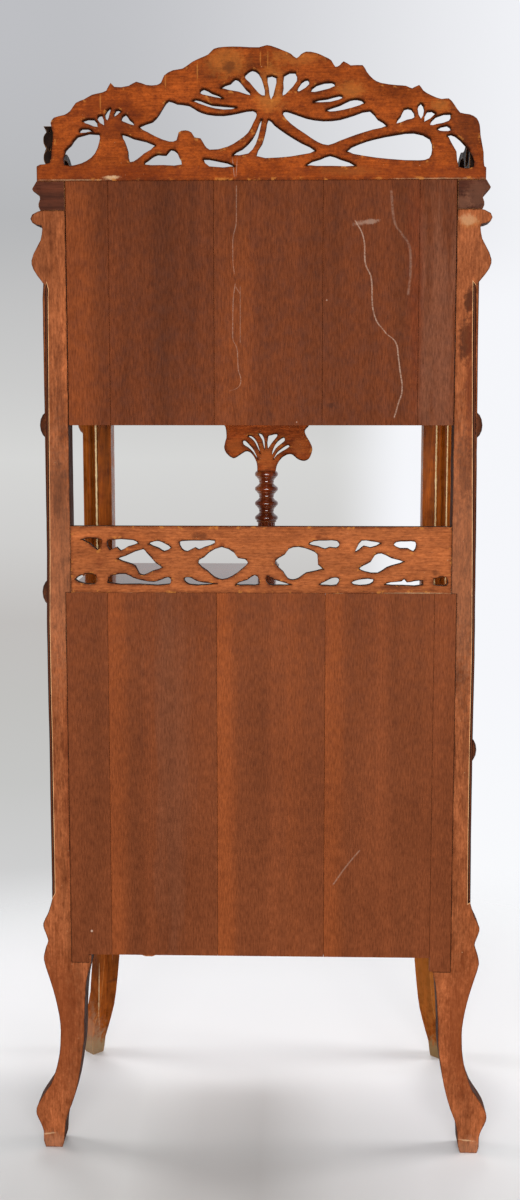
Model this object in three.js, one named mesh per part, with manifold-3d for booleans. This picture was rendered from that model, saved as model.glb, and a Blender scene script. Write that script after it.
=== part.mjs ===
import * as THREE from "three";
import { mergeVertices } from "three/addons/utils/BufferGeometryUtils.js";
import Module from "manifold-3d";

// A carved etagere of two open tiers under a pierced crest, in millimetres, +Z up.
// Its front looks towards -Y, and left and right are as seen from the front.
// The origin is on the floor under the middle of the piece. A distance "in" is measured
// from the rear faces of the rear legs towards the front.

// Heights, stacked from the floor up.
const backBoardUnder = 303;
const lowerBackTall = 541;
const galleryTall = 96;
const middleTierTall = 143;
const upperTierTall = 297;
const corniceTall = 40;
const crestHeight = 180;
const galleryUnder = backBoardUnder + lowerBackTall;
const galleryTop = galleryUnder + galleryTall;
const upperFloorUnder = galleryTop + middleTierTall;
const postTop = upperFloorUnder + upperTierTall;
const caseTop = postTop + corniceTall;

// Thicknesses.
const boardThick = 9;
const shelfThick = 16;
const floorThick = 18;
const railThick = 20;
const clearance = 0.3;
const boardGap = 0.3;
const grooveDeep = 3;

// Levels of the shelves.
const highShelfRise = 6;
const shelfStep = 230;
const baseBoardRise = 12;
const highShelfTop = galleryUnder + highShelfRise;
const lowShelfTop = highShelfTop - shelfStep;
const baseBoardUnder = backBoardUnder + baseBoardRise;
const baseBoardTop = baseBoardUnder + floorThick;

// Sizes across and from rear to front.
const depth = 400;
const halfCase = 300;
const rearPostWidth = 27.5;
const rearPostDepth = 38;
const frontPostWidth = 42;
const frontPostDepth = 47;
const frontPostInset = 2;
const corniceFrontStep = 12;
const railInset = 6;
const rearY = depth / 2;
const rearOuter = halfCase;
const rearInner = rearOuter - rearPostWidth;
const frontOuter = halfCase - frontPostInset;
const frontInner = frontOuter - frontPostWidth;
const frontPostOut = depth - corniceFrontStep;
const frontPostIn = frontPostOut - frontPostDepth;
const railInner = frontInner + railInset;
const sides = [
  { name: "left", sign: -1 },
  { name: "right", sign: 1 },
];

// Materials.
const sawnWood = new THREE.MeshStandardMaterial({ color: 0xa2592f, roughness: 0.8, metalness: 0 });
const boardWood = new THREE.MeshStandardMaterial({ color: 0x74402a, roughness: 0.75, metalness: 0 });
const polishedWood = new THREE.MeshStandardMaterial({ color: 0x8a4a22, roughness: 0.35, metalness: 0 });
const turnedWood = new THREE.MeshStandardMaterial({ color: 0x5c2412, roughness: 0.2, metalness: 0 });

const etagere = new THREE.Group();

function addPiece(name, geometry, material) {
  const mesh = new THREE.Mesh(geometry, material);
  mesh.name = name;
  etagere.add(mesh);
}

// Joining and cutting closed shapes.
const wasm = await Module();
wasm.setup();

function toSolid(geometry) {
  const bare = new THREE.BufferGeometry();
  const source = geometry.index ? geometry.toNonIndexed() : geometry;
  bare.setAttribute("position", source.getAttribute("position"));
  const merged = mergeVertices(bare);
  const corners = [...merged.index.array];
  const faces = [];
  for (let n = 0; n < corners.length; n += 3) {
    const [a, b, c] = corners.slice(n, n + 3);
    if (a !== b && b !== c && c !== a) faces.push(a, b, c);
  }
  return new wasm.Manifold(
    new wasm.Mesh({
      numProp: 3,
      vertProperties: merged.attributes.position.array,
      triVerts: new Uint32Array(faces),
    }),
  );
}

function toGeometry(solid) {
  const mesh = solid.getMesh();
  const geometry = new THREE.BufferGeometry();
  geometry.setAttribute("position", new THREE.BufferAttribute(mesh.vertProperties, 3));
  geometry.setIndex(new THREE.BufferAttribute(mesh.triVerts, 1));
  return geometry;
}

function join(first, ...others) {
  let solid = toSolid(first);
  for (const other of others) solid = solid.add(toSolid(other));
  return toGeometry(solid);
}

function cut(first, ...others) {
  let solid = toSolid(first);
  for (const other of others) solid = solid.subtract(toSolid(other));
  return toGeometry(solid);
}

// A block between two places across, two distances in and two heights.
function block(x0, x1, in0, in1, z0, z1) {
  const box = new THREE.BoxGeometry(Math.abs(x1 - x0), in1 - in0, z1 - z0);
  return box.translate((x0 + x1) / 2, rearY - (in0 + in1) / 2, (z0 + z1) / 2);
}

// An upright sawn board: its outline is drawn across and up, and its rear face lies at inFrom.
function uprightBoard(shape, thick, inFrom) {
  const board = new THREE.ExtrudeGeometry(shape, { depth: thick, bevelEnabled: false });
  return board.rotateX(Math.PI / 2).translate(0, rearY - inFrom, 0);
}

// A board seen from the side: its outline is drawn in and up, and its right face lies at x.
function sideBoard(shape, thick, x) {
  const board = new THREE.ExtrudeGeometry(shape, { depth: thick, bevelEnabled: false });
  const toFront = new THREE.Vector3(0, -1, 0);
  const up = new THREE.Vector3(0, 0, 1);
  const toLeft = new THREE.Vector3(-1, 0, 0);
  board.applyMatrix4(new THREE.Matrix4().makeBasis(toFront, up, toLeft));
  return board.translate(x, rearY, 0);
}

// A board or post seen from above: its outline is drawn across and in.
function levelBoard(points, z0, z1) {
  const shape = new THREE.Shape(points.map((p) => new THREE.Vector2(p.x, rearY - p.y)));
  const board = new THREE.ExtrudeGeometry(shape, { depth: z1 - z0, bevelEnabled: false });
  return board.translate(0, 0, z0);
}

const at = (x, y) => new THREE.Vector2(x, y);

// A smooth line through points, open or closed.
function smoothLine(points, closed, stepsPerSpan) {
  const through = points.map((p) => new THREE.Vector3(p.x, p.y, 0));
  const curve = new THREE.CatmullRomCurve3(through, closed);
  const spans = closed ? points.length : points.length - 1;
  const line = curve.getPoints(spans * stepsPerSpan).map((p) => at(p.x, p.y));
  if (closed) line.pop();
  return line;
}

// A board's outline with its openings, drawn the same way round whichever way its points run.
function piercedShape(outline, openings) {
  const shape = new THREE.Shape(THREE.ShapeUtils.isClockWise(outline) ? outline.reverse() : outline);
  shape.holes = openings.map((line) => new THREE.Path(line));
  return shape;
}

// Half-round reeds side by side along a line, standing out to its right-hand side.
function reedsAlong(from, to, count, stepsPerReed) {
  const run = to.clone().sub(from);
  const radius = run.length() / count / 2;
  const along = run.clone().normalize();
  const outward = at(along.y, -along.x);
  const points = [];
  for (let reed = 0; reed < count; reed++) {
    for (let step = 0; step < stepsPerReed; step++) {
      const turn = (Math.PI * step) / stepsPerReed;
      const forward = radius * (2 * reed + 1 - Math.cos(turn));
      const out = radius * Math.sin(turn);
      points.push(from.clone().addScaledVector(along, forward).addScaledVector(outward, out));
    }
  }
  return points;
}

// Legs. Each is one post from the floor to the cornice, sawn to a cabriole foot and knee below
// and to a leaf and a bud above. The shares are of the reach from the post's inner face to the toe
// and of the height of the carved part.
const toeSpread = 38;
const toeReach = halfCase + toeSpread;
const kneeTop = 387;
const rabbetWidth = 7.5;
const footOuterShares = [
  [0.542, 1], [0.634, 0.948], [0.756, 0.904], [0.74, 0.884], [0.695, 0.863], [0.649, 0.835],
  [0.695, 0.814], [0.74, 0.786], [0.756, 0.76], [0.679, 0.711], [0.557, 0.641], [0.466, 0.574],
  [0.405, 0.504], [0.405, 0.447], [0.435, 0.385], [0.511, 0.323], [0.649, 0.258], [0.863, 0.202],
  [0.985, 0.16], [0.985, 0.132], [0.893, 0.096], [0.832, 0.065], [0.832, 0.026], [0.786, 0],
];
const kneeWidthShare = 0.8;
const footInnerShares = [
  [0.405, 0], [0.359, 0.026], [0.344, 0.067], [0.298, 0.119], [0.16, 0.181], [0.023, 0.266],
  [-0.069, 0.359], [-0.13, 0.434], [-0.145, 0.519], [-0.176, 0.615], [-0.221, 0.685],
  [-0.282, 0.726], [-0.328, 0.76], [-0.32, 0.8], [-0.24, 0.84], [-0.1, 0.89], [0, 0.94],
];
const leafTall = 103;
const leafSpread = 21;
const leafUnder = postTop - leafTall;
const leafReach = halfCase + leafSpread;
const leafShares = [
  [0, 0], [0.1, 0.015], [0.3, 0.068], [0.58, 0.136], [0.86, 0.22], [0.98, 0.29], [0.98, 0.34],
  [0.84, 0.427], [0.6, 0.515], [0.35, 0.61], [0.26, 0.69], [0.22, 0.76], [0.28, 0.806],
  [0.6, 0.816], [0.88, 0.84], [1, 0.893], [0.88, 0.95], [0.5, 0.99], [0.3, 1],
];
const knotHeight = 41;
const knotSpread = 14;
const knotReach = halfCase + knotSpread;
const knotMiddle = upperFloorUnder;
const highKnotMiddle = highShelfTop - shelfThick / 2;
const lowKnotMiddle = lowShelfTop - shelfThick / 2;

function footLine(shares, sign) {
  const reach = toeReach - rearInner;
  const points = shares.map(([out, up]) => at(sign * (rearInner + out * reach), up * kneeTop));
  return smoothLine(points, false, 2);
}

function leafLine(sign) {
  const reach = leafReach - rearOuter;
  const height = postTop - leafUnder;
  const points = leafShares.map(([out, up]) => at(sign * (rearOuter + out * reach), leafUnder + up * height));
  return smoothLine(points, false, 1);
}

// The swollen joint of a stem, where a shelf meets the post.
function stemKnot(sign, inMiddle, deep, middle) {
  const knot = new THREE.SphereGeometry(1, 10, 8);
  knot.rotateX(Math.PI / 2).scale(knotReach - rearOuter, deep / 2, knotHeight / 2);
  return knot.translate(sign * rearOuter, rearY - inMiddle, middle);
}

function knotsOf(sign, inMiddle, deep) {
  const shelfKnot = sign > 0 ? highKnotMiddle : lowKnotMiddle;
  return [knotMiddle, shelfKnot].map((middle) => stemKnot(sign, inMiddle, deep, middle));
}

const rearReedsIn = 6;
const leftTabDrop = 21;
const rightTabDrop = 12;
const leftTabWidth = 31;
const rightTabWidth = 25;
const backBoardSpan = rearInner + rabbetWidth;
const cornerTabUnders = { left: backBoardUnder - leftTabDrop, right: backBoardUnder - rightTabDrop };
const cornerTabInners = { left: backBoardSpan - leftTabWidth, right: backBoardSpan - rightTabWidth };

function rearLeg({ name, sign }) {
  const points = [
    ...leafLine(sign),
    at(sign * rearInner, postTop),
    ...footLine(footInnerShares, sign).reverse(),
    ...footLine(footOuterShares, sign).reverse(),
  ];
  const sawn = uprightBoard(new THREE.Shape(points), rearPostDepth, 0);
  const reeds = reedsAlong(at(rearOuter, rearReedsIn), at(rearOuter, rearPostDepth), 3, 6);
  const plan = [
    at(rearInner, rearReedsIn),
    ...reeds,
    at(rearOuter, rearPostDepth),
    at(rearInner, rearPostDepth),
  ].map((p) => at(sign * p.x, p.y));
  const moulded = levelBoard(plan, kneeTop - knotHeight, leafUnder + knotHeight);
  const deep = rearPostDepth - rearReedsIn;
  const knots = knotsOf(sign, rearReedsIn + deep / 2, deep);
  const rabbetIn = boardThick + clearance;
  const rabbetOuter = sign * (backBoardSpan + clearance);
  const rabbetTop = galleryUnder + clearance;
  const tabRabbet = block(
    sign * (cornerTabInners[name] - clearance), rabbetOuter, 0, rabbetIn,
    cornerTabUnders[name] - clearance, rabbetTop,
  );
  const rabbet = block(0, rabbetOuter, 0, rabbetIn, backBoardUnder - clearance, rabbetTop);
  return cut(join(sawn, moulded, ...knots), tabRabbet, rabbet);
}

// The front legs end in a slim cabriole foot whose square section is turned to stand on its
// corner. Each row holds the height, how far the middle stands out and in from the post's middle,
// and the half diagonal, as shares of the foot's height, its swing and the post's half depth, and
// how far the section has turned into the post's own square.
const frontApronTall = 53;
const footTop = baseBoardUnder - frontApronTall;
const footSwing = 20;
const footRows = [
  { up: 0, out: 1.05, in: -1.15, half: 0.66, square: 0 },
  { up: 0.03, out: 1.07, in: -1.15, half: 0.74, square: 0 },
  { up: 0.1, out: 1.08, in: -1.1, half: 0.84, square: 0 },
  { up: 0.16, out: 1, in: -1.05, half: 0.97, square: 0 },
  { up: 0.24, out: 0.78, in: -1, half: 1.03, square: 0 },
  { up: 0.32, out: 0.44, in: -0.95, half: 0.96, square: 0 },
  { up: 0.4, out: 0.27, in: -0.9, half: 0.95, square: 0 },
  { up: 0.52, out: 0.14, in: -0.75, half: 0.98, square: 0 },
  { up: 0.64, out: 0.02, in: -0.55, half: 1, square: 0.1 },
  { up: 0.78, out: 0, in: -0.4, half: 1.08, square: 0.35 },
  { up: 0.92, out: 0, in: -0.15, half: 1.15, square: 0.75 },
  { up: 1, out: 0, in: 0, half: 1.1, square: 1 },
];
const footSideCount = 16;

function frontFoot(sign) {
  const middleX = (frontInner + frontOuter) / 2;
  const middleIn = frontPostIn + frontPostDepth / 2;
  const halfPost = (frontOuter - frontInner) / 2;
  const corners = [];
  for (const row of footRows) {
    for (let n = 0; n < footSideCount; n++) {
      const turn = (2 * Math.PI * n) / footSideCount;
      const across = Math.abs(Math.cos(turn));
      const along = Math.abs(Math.sin(turn));
      const onCorner = (row.half * frontPostDepth) / 2 / (across + along);
      const onSide = halfPost / Math.max(across, along);
      const radius = onCorner + (onSide - onCorner) * row.square;
      const x = middleX + row.out * footSwing + radius * Math.cos(turn);
      const y = middleIn + row.in * footSwing + radius * Math.sin(turn);
      corners.push(sign * x, rearY - y, row.up * footTop);
    }
  }
  return loft(corners, footRows.length, footSideCount, sign > 0);
}

// A closed skin over rings of corners that lie one above the other.
function loft(corners, ringCount, perRing, turned) {
  const faces = [];
  const face = (a, b, c) => faces.push(...(turned ? [a, c, b] : [a, b, c]));
  for (let ring = 0; ring < ringCount - 1; ring++) {
    for (let n = 0; n < perRing; n++) {
      const here = ring * perRing + n;
      const next = ring * perRing + ((n + 1) % perRing);
      face(here, next, next + perRing);
      face(here, next + perRing, here + perRing);
    }
  }
  const last = (ringCount - 1) * perRing;
  for (let n = 1; n < perRing - 1; n++) {
    face(0, n + 1, n);
    face(last, last + n, last + n + 1);
  }
  const skin = new THREE.BufferGeometry();
  skin.setAttribute("position", new THREE.Float32BufferAttribute(corners, 3));
  skin.setIndex(faces);
  return skin;
}

const flatBackShare = 0.52;

function frontLeg({ sign }) {
  const flatOuter = frontInner + (frontOuter - frontInner) * flatBackShare;
  const reedRadius = (frontOuter - flatOuter) / 4;
  const rearReeds = frontPostIn + reedRadius;
  const frontReeds = frontPostOut - reedRadius;
  const plan = [
    at(frontInner, frontPostIn),
    at(flatOuter, frontPostIn),
    ...reedsAlong(at(flatOuter, rearReeds), at(frontOuter, rearReeds), 2, 6),
    ...reedsAlong(at(frontOuter, rearReeds), at(frontOuter, frontReeds), 3, 6),
    ...reedsAlong(at(frontOuter, frontReeds), at(frontInner, frontReeds), 4, 6),
    at(frontInner, frontReeds),
  ].map((p) => at(sign * p.x, p.y));
  const post = levelBoard(plan, footTop, postTop);
  const deep = frontReeds - rearReeds;
  const leaf = uprightBoard(
    new THREE.Shape([...leafLine(sign), at(sign * frontInner, postTop), at(sign * frontInner, leafUnder)]),
    deep, rearReeds,
  );
  const kneeLine = footLine(footOuterShares.filter(([, up]) => up > footTop / kneeTop), sign);
  const knee = uprightBoard(
    new THREE.Shape([...kneeLine, at(sign * frontInner, footTop), at(sign * frontInner, kneeTop)]),
    deep, rearReeds,
  );
  const knots = knotsOf(sign, rearReeds + deep / 2, deep);
  return join(post, frontFoot(sign), leaf, knee, ...knots);
}

for (const side of sides) {
  addPiece("rear_leg_" + side.name, rearLeg(side), sawnWood);
  addPiece("front_leg_" + side.name, frontLeg(side), polishedWood);
}

// Back boards, nailed side by side with a shrinkage gap. The joints are shares of each panel's
// width, from the right-hand edge.
const upperBoardsIn = 1.5;
const upperBackSpan = rearInner - 2 * boardGap;
const upperJointShares = [0, 0.109, 0.38, 0.66, 0.906, 1];
const lowerJointShares = [0, 0.107, 0.3875, 0.666, 0.9446, 1];

function placesOf(shares, span) {
  return shares.map((share) => span * (1 - 2 * share));
}

const upperPlaces = placesOf(upperJointShares, upperBackSpan);
for (let n = 0; n < upperPlaces.length - 1; n++) {
  const board = block(
    upperPlaces[n + 1] + boardGap / 2, upperPlaces[n] - boardGap / 2,
    upperBoardsIn, upperBoardsIn + boardThick, upperFloorUnder, caseTop,
  );
  addPiece("upper_back_board_" + (n + 1), board, boardWood);
}

// The two corner boards hang lower than the rest, over the tops of the rear legs.
const lowerPlaces = placesOf(lowerJointShares, backBoardSpan);
for (let n = 0; n < lowerPlaces.length - 1; n++) {
  const left = lowerPlaces[n + 1] + boardGap / 2;
  const right = lowerPlaces[n] - boardGap / 2;
  let board = block(left, right, 0, boardThick, backBoardUnder, galleryUnder);
  if (n === 0) {
    const tab = block(cornerTabInners.right, right, 0, boardThick, cornerTabUnders.right, galleryUnder);
    board = join(board, tab);
  }
  if (n === lowerPlaces.length - 2) {
    board = block(left, right, 0, boardThick, cornerTabUnders.left, galleryUnder);
  }
  addPiece("lower_back_board_" + (n + 1), board, boardWood);
}

// The gallery rail over the lower back is pierced with leaves and slits. The shares are of its
// width, from the right-hand end, and of its height.
const galleryThick = 15;
const gallerySpan = rearInner - boardGap;
const galleryOpeningShares = [
  [[0.03, 0.8], [0.08, 0.8], [0.083, 0.745], [0.072, 0.64], [0.052, 0.73]],
  [[0.096, 0.76], [0.104, 0.79], [0.165, 0.79], [0.178, 0.745], [0.15, 0.69], [0.131, 0.63],
    [0.121, 0.685], [0.103, 0.64]],
  [[0.207, 0.73], [0.22, 0.77], [0.234, 0.775], [0.25, 0.735], [0.264, 0.68], [0.246, 0.622],
    [0.232, 0.67]],
  [[0.287, 0.76], [0.3, 0.78], [0.345, 0.785], [0.38, 0.782], [0.378, 0.74], [0.352, 0.685],
    [0.337, 0.65], [0.328, 0.68], [0.307, 0.62], [0.293, 0.66]],
  [[0.627, 0.735], [0.64, 0.78], [0.67, 0.79], [0.7, 0.785], [0.707, 0.72], [0.699, 0.68],
    [0.681, 0.69], [0.67, 0.665], [0.652, 0.7]],
  [[0.748, 0.62], [0.752, 0.68], [0.765, 0.79], [0.79, 0.78], [0.815, 0.75], [0.788, 0.685],
    [0.771, 0.71], [0.759, 0.655]],
  [[0.849, 0.73], [0.856, 0.77], [0.88, 0.78], [0.904, 0.775], [0.908, 0.72], [0.901, 0.63],
    [0.886, 0.675], [0.866, 0.675]],
  [[0.124, 0.505], [0.146, 0.555], [0.192, 0.655], [0.2, 0.605], [0.2145, 0.515], [0.225, 0.445],
    [0.241, 0.38], [0.2145, 0.325], [0.192, 0.265], [0.18, 0.285], [0.17, 0.4], [0.152, 0.445]],
  [[0.336, 0.44], [0.34, 0.5], [0.352, 0.535], [0.366, 0.61], [0.398, 0.69], [0.431, 0.605],
    [0.441, 0.525], [0.459, 0.51], [0.467, 0.455], [0.45, 0.355], [0.425, 0.25], [0.399, 0.2],
    [0.378, 0.24], [0.36, 0.33]],
  [[0.538, 0.45], [0.546, 0.52], [0.564, 0.58], [0.575, 0.665], [0.6, 0.695], [0.632, 0.645],
    [0.649, 0.585], [0.651, 0.43], [0.664, 0.365], [0.62, 0.305], [0.6, 0.225], [0.585, 0.2],
    [0.572, 0.22], [0.56, 0.32]],
  [[0.759, 0.37], [0.769, 0.415], [0.789, 0.475], [0.8, 0.575], [0.817, 0.6], [0.843, 0.53],
    [0.876, 0.475], [0.853, 0.43], [0.832, 0.39], [0.808, 0.305], [0.775, 0.325]],
  [[0.011, 0.195], [0.034, 0.275], [0.062, 0.27], [0.069, 0.2], [0.063, 0.135], [0.03, 0.14]],
  [[0.096, 0.15], [0.101, 0.22], [0.112, 0.262], [0.144, 0.282], [0.165, 0.225], [0.19, 0.185],
    [0.22, 0.165], [0.24, 0.2], [0.257, 0.235], [0.264, 0.2], [0.26, 0.13], [0.18, 0.128]],
  [[0.299, 0.19], [0.303, 0.232], [0.316, 0.23], [0.33, 0.185], [0.352, 0.155], [0.384, 0.14],
    [0.36, 0.125], [0.312, 0.128]],
  [[0.436, 0.125], [0.446, 0.165], [0.466, 0.2], [0.485, 0.272], [0.497, 0.21], [0.497, 0.13],
    [0.466, 0.122]],
  [[0.514, 0.2], [0.517, 0.255], [0.5335, 0.21], [0.551, 0.18], [0.579, 0.125], [0.549, 0.122],
    [0.522, 0.13]],
  [[0.655, 0.13], [0.674, 0.19], [0.688, 0.23], [0.701, 0.235], [0.707, 0.2], [0.7, 0.125],
    [0.672, 0.12]],
  [[0.74, 0.165], [0.748, 0.19], [0.765, 0.213], [0.796, 0.212], [0.795, 0.165], [0.778, 0.126],
    [0.746, 0.13]],
  [[0.826, 0.135], [0.842, 0.17], [0.87, 0.185], [0.877, 0.215], [0.884, 0.17], [0.905, 0.19],
    [0.925, 0.19], [0.926, 0.13], [0.875, 0.122]],
  [[0.953, 0.14], [0.956, 0.22], [0.968, 0.245], [0.987, 0.245], [0.992, 0.19], [0.989, 0.13],
    [0.97, 0.125]],
];

// An opening drawn in shares of a board that hangs from its right-hand lower corner.
function opening(shares, span, under, tall, stepsPerSpan) {
  const points = shares.map(([across, up]) => at(span * (1 - 2 * across), under + tall * up));
  return smoothLine(points, true, stepsPerSpan);
}

const galleryOutline = [
  at(-gallerySpan, galleryUnder),
  at(gallerySpan, galleryUnder),
  at(gallerySpan, galleryTop),
  at(-gallerySpan, galleryTop),
];
const galleryShape = piercedShape(
  galleryOutline,
  galleryOpeningShares.map((shares) => opening(shares, gallerySpan, galleryUnder, galleryTall, 2)),
);
addPiece("gallery_rail", uprightBoard(galleryShape, galleryThick, 0), sawnWood);

// The crest: one board pierced with stems and umbels and sawn to a wavy top. The shares are of
// its width, from the right-hand end, and of its height.
const crestSpread = 11;
const crestSpan = halfCase + crestSpread;
const crestThick = 12;
const openingEase = 0.9;
const openingRise = 0.4;
const crestTopShares = [
  [0, 0.11], [0.008, 0.125], [0.0295, 0.137], [0.035, 0.25], [0.0385, 0.36], [0.033, 0.435],
  [0.041, 0.475], [0.064, 0.495], [0.0775, 0.525], [0.09, 0.583], [0.109, 0.61], [0.126, 0.642],
  [0.1415, 0.654], [0.158, 0.672], [0.168, 0.73], [0.1765, 0.7], [0.208, 0.707], [0.225, 0.737],
  [0.247, 0.713], [0.27, 0.712], [0.28, 0.73], [0.287, 0.782], [0.3065, 0.82], [0.328, 0.832],
  [0.349, 0.88], [0.368, 0.91], [0.385, 0.935], [0.397, 0.975], [0.419, 0.989], [0.4545, 0.99],
  [0.4965, 0.984], [0.5145, 1], [0.533, 0.983], [0.55, 0.96], [0.567, 0.935], [0.5795, 0.902],
  [0.589, 0.93], [0.6005, 0.95], [0.6225, 0.94], [0.641, 0.913], [0.656, 0.885], [0.665, 0.837],
  [0.675, 0.85], [0.683, 0.877], [0.6985, 0.847], [0.725, 0.848], [0.734, 0.8], [0.7485, 0.745],
  [0.7655, 0.717], [0.8005, 0.7], [0.821, 0.694], [0.834, 0.676], [0.8495, 0.7], [0.8585, 0.66],
  [0.8755, 0.625], [0.899, 0.596], [0.915, 0.6], [0.927, 0.557], [0.9405, 0.495], [0.9615, 0.482],
  [0.977, 0.453], [0.984, 0.4], [0.986, 0.33], [0.9935, 0.2], [0.9955, 0.1], [1, 0.088],
];
const crestOpeningShares = [
  [[0.093, 0.324], [0.1403, 0.342], [0.1395, 0.288], [0.13, 0.207], [0.1125, 0.155],
    [0.088, 0.124], [0.0628, 0.122], [0.0665, 0.222], [0.079, 0.263]],
  [[0.0975, 0.362], [0.103, 0.383], [0.124, 0.376]],
  [[0.1063, 0.443], [0.1287, 0.452], [0.137, 0.405], [0.12, 0.425]],
  [[0.1382, 0.465], [0.146, 0.484], [0.1515, 0.418]],
  [[0.1665, 0.536], [0.1557, 0.49], [0.1595, 0.455], [0.1635, 0.5]],
  [[0.1748, 0.48], [0.18, 0.518], [0.1878, 0.518]],
  [[0.1917, 0.455], [0.2, 0.487], [0.207, 0.452], [0.219, 0.417], [0.2, 0.44]],
  [[0.1925, 0.34], [0.2175, 0.308], [0.264, 0.26], [0.2405, 0.207], [0.225, 0.165],
    [0.2095, 0.142], [0.2065, 0.22], [0.1985, 0.3]],
  [[0.241, 0.125], [0.2495, 0.143], [0.2598, 0.17], [0.272, 0.188], [0.2905, 0.184],
    [0.301, 0.225], [0.313, 0.204], [0.318, 0.167], [0.324, 0.123], [0.284, 0.12]],
  [[0.2325, 0.4], [0.2607, 0.433], [0.276, 0.488], [0.2873, 0.55], [0.2968, 0.587], [0.314, 0.566],
    [0.3412, 0.553], [0.36, 0.514], [0.382, 0.488], [0.418, 0.478], [0.4505, 0.495],
    [0.483, 0.513], [0.4905, 0.49], [0.483, 0.43], [0.471, 0.355], [0.4505, 0.3],
    [0.4267, 0.255], [0.3873, 0.233], [0.377, 0.265], [0.3675, 0.317], [0.3547, 0.324],
    [0.348, 0.36], [0.3343, 0.378], [0.3173, 0.363], [0.3123, 0.303], [0.298, 0.295],
    [0.2675, 0.333], [0.2503, 0.365]],
  [[0.351, 0.597], [0.3665, 0.588], [0.392, 0.555], [0.4465, 0.538], [0.418, 0.531],
    [0.384, 0.553]],
  [[0.367, 0.652], [0.3745, 0.673], [0.392, 0.642], [0.416, 0.614], [0.38, 0.637]],
  [[0.414, 0.69], [0.4347, 0.713], [0.445, 0.745], [0.4535, 0.727], [0.467, 0.67],
    [0.478, 0.635], [0.452, 0.662]],
  [[0.4663, 0.766], [0.4722, 0.79], [0.482, 0.81], [0.4945, 0.788], [0.504, 0.72],
    [0.5083, 0.63], [0.498, 0.647], [0.4775, 0.727]],
  [[0.517, 0.763], [0.5333, 0.758], [0.5303, 0.674], [0.5235, 0.603], [0.52, 0.685]],
  [[0.5535, 0.77], [0.576, 0.79], [0.579, 0.736], [0.56, 0.66], [0.55, 0.63], [0.5527, 0.685]],
  [[0.5823, 0.66], [0.5925, 0.72], [0.6043, 0.737], [0.606, 0.711], [0.589, 0.668]],
  [[0.612, 0.656], [0.625, 0.697], [0.657, 0.716], [0.664, 0.7], [0.632, 0.665]],
  [[0.618, 0.583], [0.6485, 0.596], [0.6737, 0.618], [0.6813, 0.612], [0.655, 0.584]],
  [[0.6468, 0.514], [0.677, 0.549], [0.6993, 0.585], [0.7145, 0.59], [0.728, 0.573],
    [0.7025, 0.54], [0.6653, 0.514]],
  [[0.5535, 0.505], [0.551, 0.49], [0.569, 0.42], [0.5995, 0.348], [0.628, 0.285], [0.65, 0.263],
    [0.6757, 0.295], [0.7097, 0.337], [0.749, 0.377], [0.7777, 0.402], [0.759, 0.442],
    [0.742, 0.505], [0.7097, 0.477], [0.6757, 0.443], [0.638, 0.435], [0.601, 0.455],
    [0.5653, 0.498]],
  [[0.5015, 0.446], [0.4947, 0.38], [0.4827, 0.3], [0.4605, 0.227], [0.44, 0.193],
    [0.4725, 0.203], [0.488, 0.27], [0.497, 0.37]],
  [[0.4917, 0.183], [0.5055, 0.27], [0.514, 0.375], [0.5185, 0.445], [0.5295, 0.407],
    [0.5567, 0.34], [0.591, 0.27], [0.6197, 0.218], [0.5912, 0.193], [0.54, 0.172]],
  [[0.3745, 0.153], [0.404, 0.138], [0.4405, 0.109], [0.3867, 0.108]],
  [[0.6033, 0.115], [0.634, 0.15], [0.6545, 0.175], [0.677, 0.148], [0.7093, 0.108],
    [0.66, 0.108]],
  [[0.6937, 0.214], [0.7197, 0.262], [0.755, 0.298], [0.801, 0.328], [0.84, 0.34],
    [0.8738, 0.297], [0.879, 0.222], [0.8725, 0.16], [0.8505, 0.146], [0.784, 0.158],
    [0.728, 0.183]],
  [[0.801, 0.42], [0.8117, 0.465], [0.8187, 0.515], [0.8325, 0.515], [0.8393, 0.463],
    [0.8235, 0.448]],
  [[0.8543, 0.557], [0.86, 0.515], [0.8545, 0.455], [0.8483, 0.52]],
  [[0.8695, 0.497], [0.8847, 0.49], [0.8622, 0.433]],
  [[0.919, 0.478], [0.915, 0.438], [0.888, 0.414], [0.876, 0.405], [0.888, 0.457]],
  [[0.8925, 0.37], [0.912, 0.392], [0.92, 0.367], [0.905, 0.362]],
  [[0.9157, 0.325], [0.93, 0.315], [0.9515, 0.248], [0.967, 0.177], [0.9717, 0.095],
    [0.9403, 0.094], [0.935, 0.207]],
];

// A closed line moved outwards all round by an ease, and up by a rise.
function easedLine(line, ease, rise) {
  const side = THREE.ShapeUtils.isClockWise(line) ? -ease : ease;
  return line.map((point, n) => {
    const before = line[(n + line.length - 1) % line.length];
    const after = line[(n + 1) % line.length];
    const along = after.clone().sub(before).normalize();
    return at(point.x + along.y * side, point.y - along.x * side + rise);
  });
}

const crestTop = smoothLine(
  crestTopShares.map(([across, up]) => at(crestSpan * (1 - 2 * across), caseTop + crestHeight * up)),
  false, 2,
);
const crestShape = piercedShape(
  [at(crestSpan, caseTop), ...crestTop, at(-crestSpan, caseTop)],
  crestOpeningShares.map((shares) =>
    easedLine(opening(shares, crestSpan, caseTop, crestHeight, 2), openingEase, openingRise),
  ),
);
addPiece("crest_panel", uprightBoard(crestShape, crestThick, 0), sawnWood);

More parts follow.
